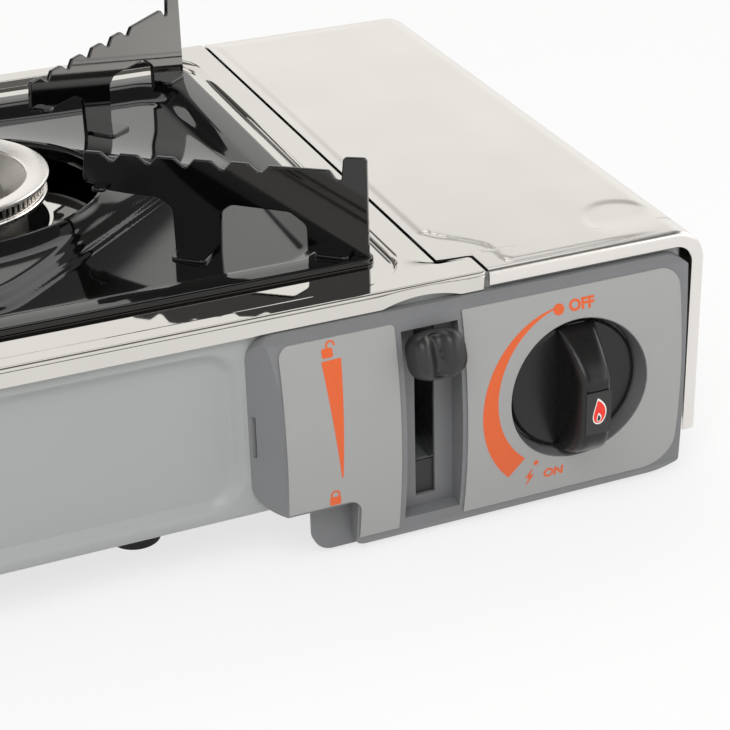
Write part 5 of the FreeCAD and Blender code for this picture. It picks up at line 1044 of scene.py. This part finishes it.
def face_prints():
    """Orange printing of the panel: wedge, padlocks, crescent, dots, spark sign and switch words."""
    t = np.linspace(0, 1, 16)[:, None]
    top_left, low_left, low_right, top_right, top_middle = np.array(WEDGE)
    shapes = {"wedge_print": np.concatenate([top_left * (1 - t) + low_left * t,
                                             low_right * (1 - t) + top_right * t, [top_middle]])}
    for name, z, width, shift in PADLOCKS:
        shapes[name + "_body"], shapes[name + "_bow"] = padlock(PADLOCK_X, z, width, shift)
    share = np.linspace(0, 1, 60)
    angle = np.radians(FLOW_FROM_DEG + FLOW_DEG * share)
    middle, half = FLOW_R + FLOW_GROW * share, (FLOW_THIN + FLOW_WIDEN * share) / 2
    shapes["flow_print"] = np.concatenate([circle(KNOB, middle + half, angle),
                                           circle(KNOB, middle - half, angle)[::-1]])
    shapes["off_dot_print"] = circle(*OFF_DOT, full_turn(32))
    shapes["spark_print"] = np.array(SPARK) * SPARK_SCALE + SPARK_AT
    shapes["spark_dot_print"] = circle(*SPARK_DOT, full_turn(32))
    curves = [(name, flat_curve(outline), (0.0, 0.0)) for name, outline in shapes.items()]
    curves += [(name, lettering(text, size), at) for name, text, size, at in WORDS]
    for name, curve, at in curves:
        ink_piece(name, curve, ORANGE, "base", lambda z: BODY_FRONT - bow(z) - FACE_LIFT, at)


def flame_outline(scale, x, z):
    """Teardrop with a bent tip: radius by height, its axis leaning to one side near the top."""
    t = np.linspace(0, 1, 40)
    half = np.sqrt(t) * (1 - t) ** 0.85 * 1.22
    lean = 0.16 * np.sin(math.pi * t ** 1.6) - 0.1 * t
    height = t * 2.0 - 0.75
    right = np.stack([lean + half, height], 1)
    left = np.stack([lean - half, height], 1)[::-1]
    return np.concatenate([right, left[1:-1]]) * scale + (x, z)


def knob_flame():
    """Flame sign on the knob's label: white outline, red flame, small black heart."""
    for name, scale, up, ink, lift in FLAME_LAYERS:
        outline = flame_outline(scale, KNOB_X, KNOB_Z - FLAME_DOWN + up)
        ink_piece(name, flat_curve(outline), ink, "knob",
                  lambda z, y=KNOB_FRONT + FLAME_SUNK - lift: np.full(len(z), y))


face_prints()
knob_flame()


# Floor, backdrop and light
FLOOR_HALF, FLOOR_GLOW = 6.0, 0.72          # metres; how much of its own white the camera sees
SKY_LOW, SKY_HIGH = 0.36, 0.72              # light from the sky at the horizon and overhead
SWEEP_TOP, SWEEP_FADE = 0.472, 0.512        # height of the white sweep, as a sine, and where it has gone
SWEEP_WHITE, ROOM_DARK = 1.08, 0.17
CARD_TOWARD, CARD_FROM, CARD_FULL, CARD_WHITE = (0.87, 0.16, 0.46), 0.92, 0.98, 2.6
AIM_Z = 0.08
LAMPS = (                   # name, place, width and height in metres, watts
    ("key", (-0.6, -1.2, 1.7), 1.3, 1.0, 16.0), ("fill", (1.2, -1.0, 0.9), 1.0, 1.0, 4.0),
    ("rim", (0.2, 1.5, 2.1), 2.4, 1.0, 9.0))


def white_floor():
    """Floor whose white the camera and mirrors see, over a diffuse white that takes the object's shadow."""
    data = bpy.data.meshes.new("studio_floor")
    corners = [(x, y, 0) for x, y in rectangle(-FLOOR_HALF, FLOOR_HALF, -FLOOR_HALF, FLOOR_HALF)]
    data.from_pydata(corners, [], [(0, 1, 2, 3)])
    new_object("studio_floor", data)
    made = bpy.data.materials.new("white_sweep")
    made.use_nodes = True
    tree = made.node_tree
    tree.nodes.clear()
    path = add(tree, "LightPath")
    seen = add(tree, "Math", [(0, path.outputs["Is Camera Ray"]), (1, path.outputs["Is Glossy Ray"])],
               operation="MAXIMUM")
    seen = add(tree, "Math", [(0, seen.outputs[0]), (1, path.outputs["Is Transmission Ray"])],
               operation="MAXIMUM")
    share = add(tree, "Math", [(0, seen.outputs[0])], operation="MULTIPLY")
    share.inputs[1].default_value = FLOOR_GLOW
    matt = add(tree, "BsdfDiffuse", in_Color=linear("#F4F4F4"))
    glow = add(tree, "Emission", in_Color=(1, 1, 1, 1), in_Strength=1.0)
    mix = add(tree, "MixShader", [(0, share.outputs[0]), (1, matt.outputs[0]), (2, glow.outputs[0])])
    add(tree, "OutputMaterial", [("Surface", mix.outputs[0])])
    data.materials.append(made)


def studio_sky():
    """White to the camera and pale to diffuse light. Mirrors see a white sweep that ends about 30 degrees up,
    a dark room above it, and one bright card to the right."""
    world = bpy.data.worlds.new("studio_sky")
    bpy.context.scene.world = world
    world.use_nodes = True
    tree = world.node_tree
    tree.nodes.clear()
    path = add(tree, "LightPath")
    plain = add(tree, "Background", in_Color=(1, 1, 1, 1), in_Strength=1.0)
    where = add(tree, "TexCoord")
    axes = add(tree, "SeparateXYZ", [("Vector", where.outputs["Generated"])])
    rise = add(tree, "MapRange", [("Value", axes.outputs["Z"])], in_From_Min=-0.1, in_From_Max=0.75,
               in_To_Min=SKY_LOW, in_To_Max=SKY_HIGH)
    lit = add(tree, "Background", [("Strength", rise.outputs["Result"])], in_Color=linear("#FBFAF8"))
    sweep = add(tree, "MapRange", [("Value", axes.outputs["Z"])], interpolation_type="SMOOTHSTEP",
                in_From_Min=SWEEP_TOP, in_From_Max=SWEEP_FADE, in_To_Min=SWEEP_WHITE, in_To_Max=ROOM_DARK)
    toward = add(tree, "VectorMath", [(0, where.outputs["Generated"])], operation="DOT_PRODUCT")
    toward.inputs[1].default_value = CARD_TOWARD
    card = add(tree, "MapRange", [("Value", toward.outputs["Value"])], interpolation_type="SMOOTHSTEP",
               in_From_Min=CARD_FROM, in_From_Max=CARD_FULL, in_To_Min=0.0, in_To_Max=CARD_WHITE)
    total = add(tree, "Math", [(0, sweep.outputs["Result"]), (1, card.outputs["Result"])], operation="ADD")
    mirrored = add(tree, "Background", [("Strength", total.outputs[0])], in_Color=linear("#FCFBF9"))
    kind = add(tree, "MixShader", [(0, path.outputs["Is Glossy Ray"]), (1, lit.outputs[0]),
                                             (2, mirrored.outputs[0])])
    mix = add(tree, "MixShader", [(0, path.outputs["Is Camera Ray"]), (1, kind.outputs[0]),
                                            (2, plain.outputs[0])])
    add(tree, "OutputWorld", [("Surface", mix.outputs[0])])


def panel_lamp(name, place, width, height, power):
    """Rectangular lamp that faces the stove."""
    data = bpy.data.lights.new(name + "_panel", "AREA")
    data.shape = "RECTANGLE"
    data.size = width
    data.size_y = height
    data.energy = power
    away = np.array(place) - (0.0, 0.0, AIM_Z)
    away /= np.linalg.norm(away)
    side = np.cross([0, 0, 1], away)
    side /= np.linalg.norm(side)
    aim(new_object(name + "_panel", data), side, np.cross(away, side), away, place)


white_floor()
studio_sky()
for lamp in LAMPS:
    panel_lamp(*lamp)
bpy.context.scene.view_settings.view_transform = "Standard"
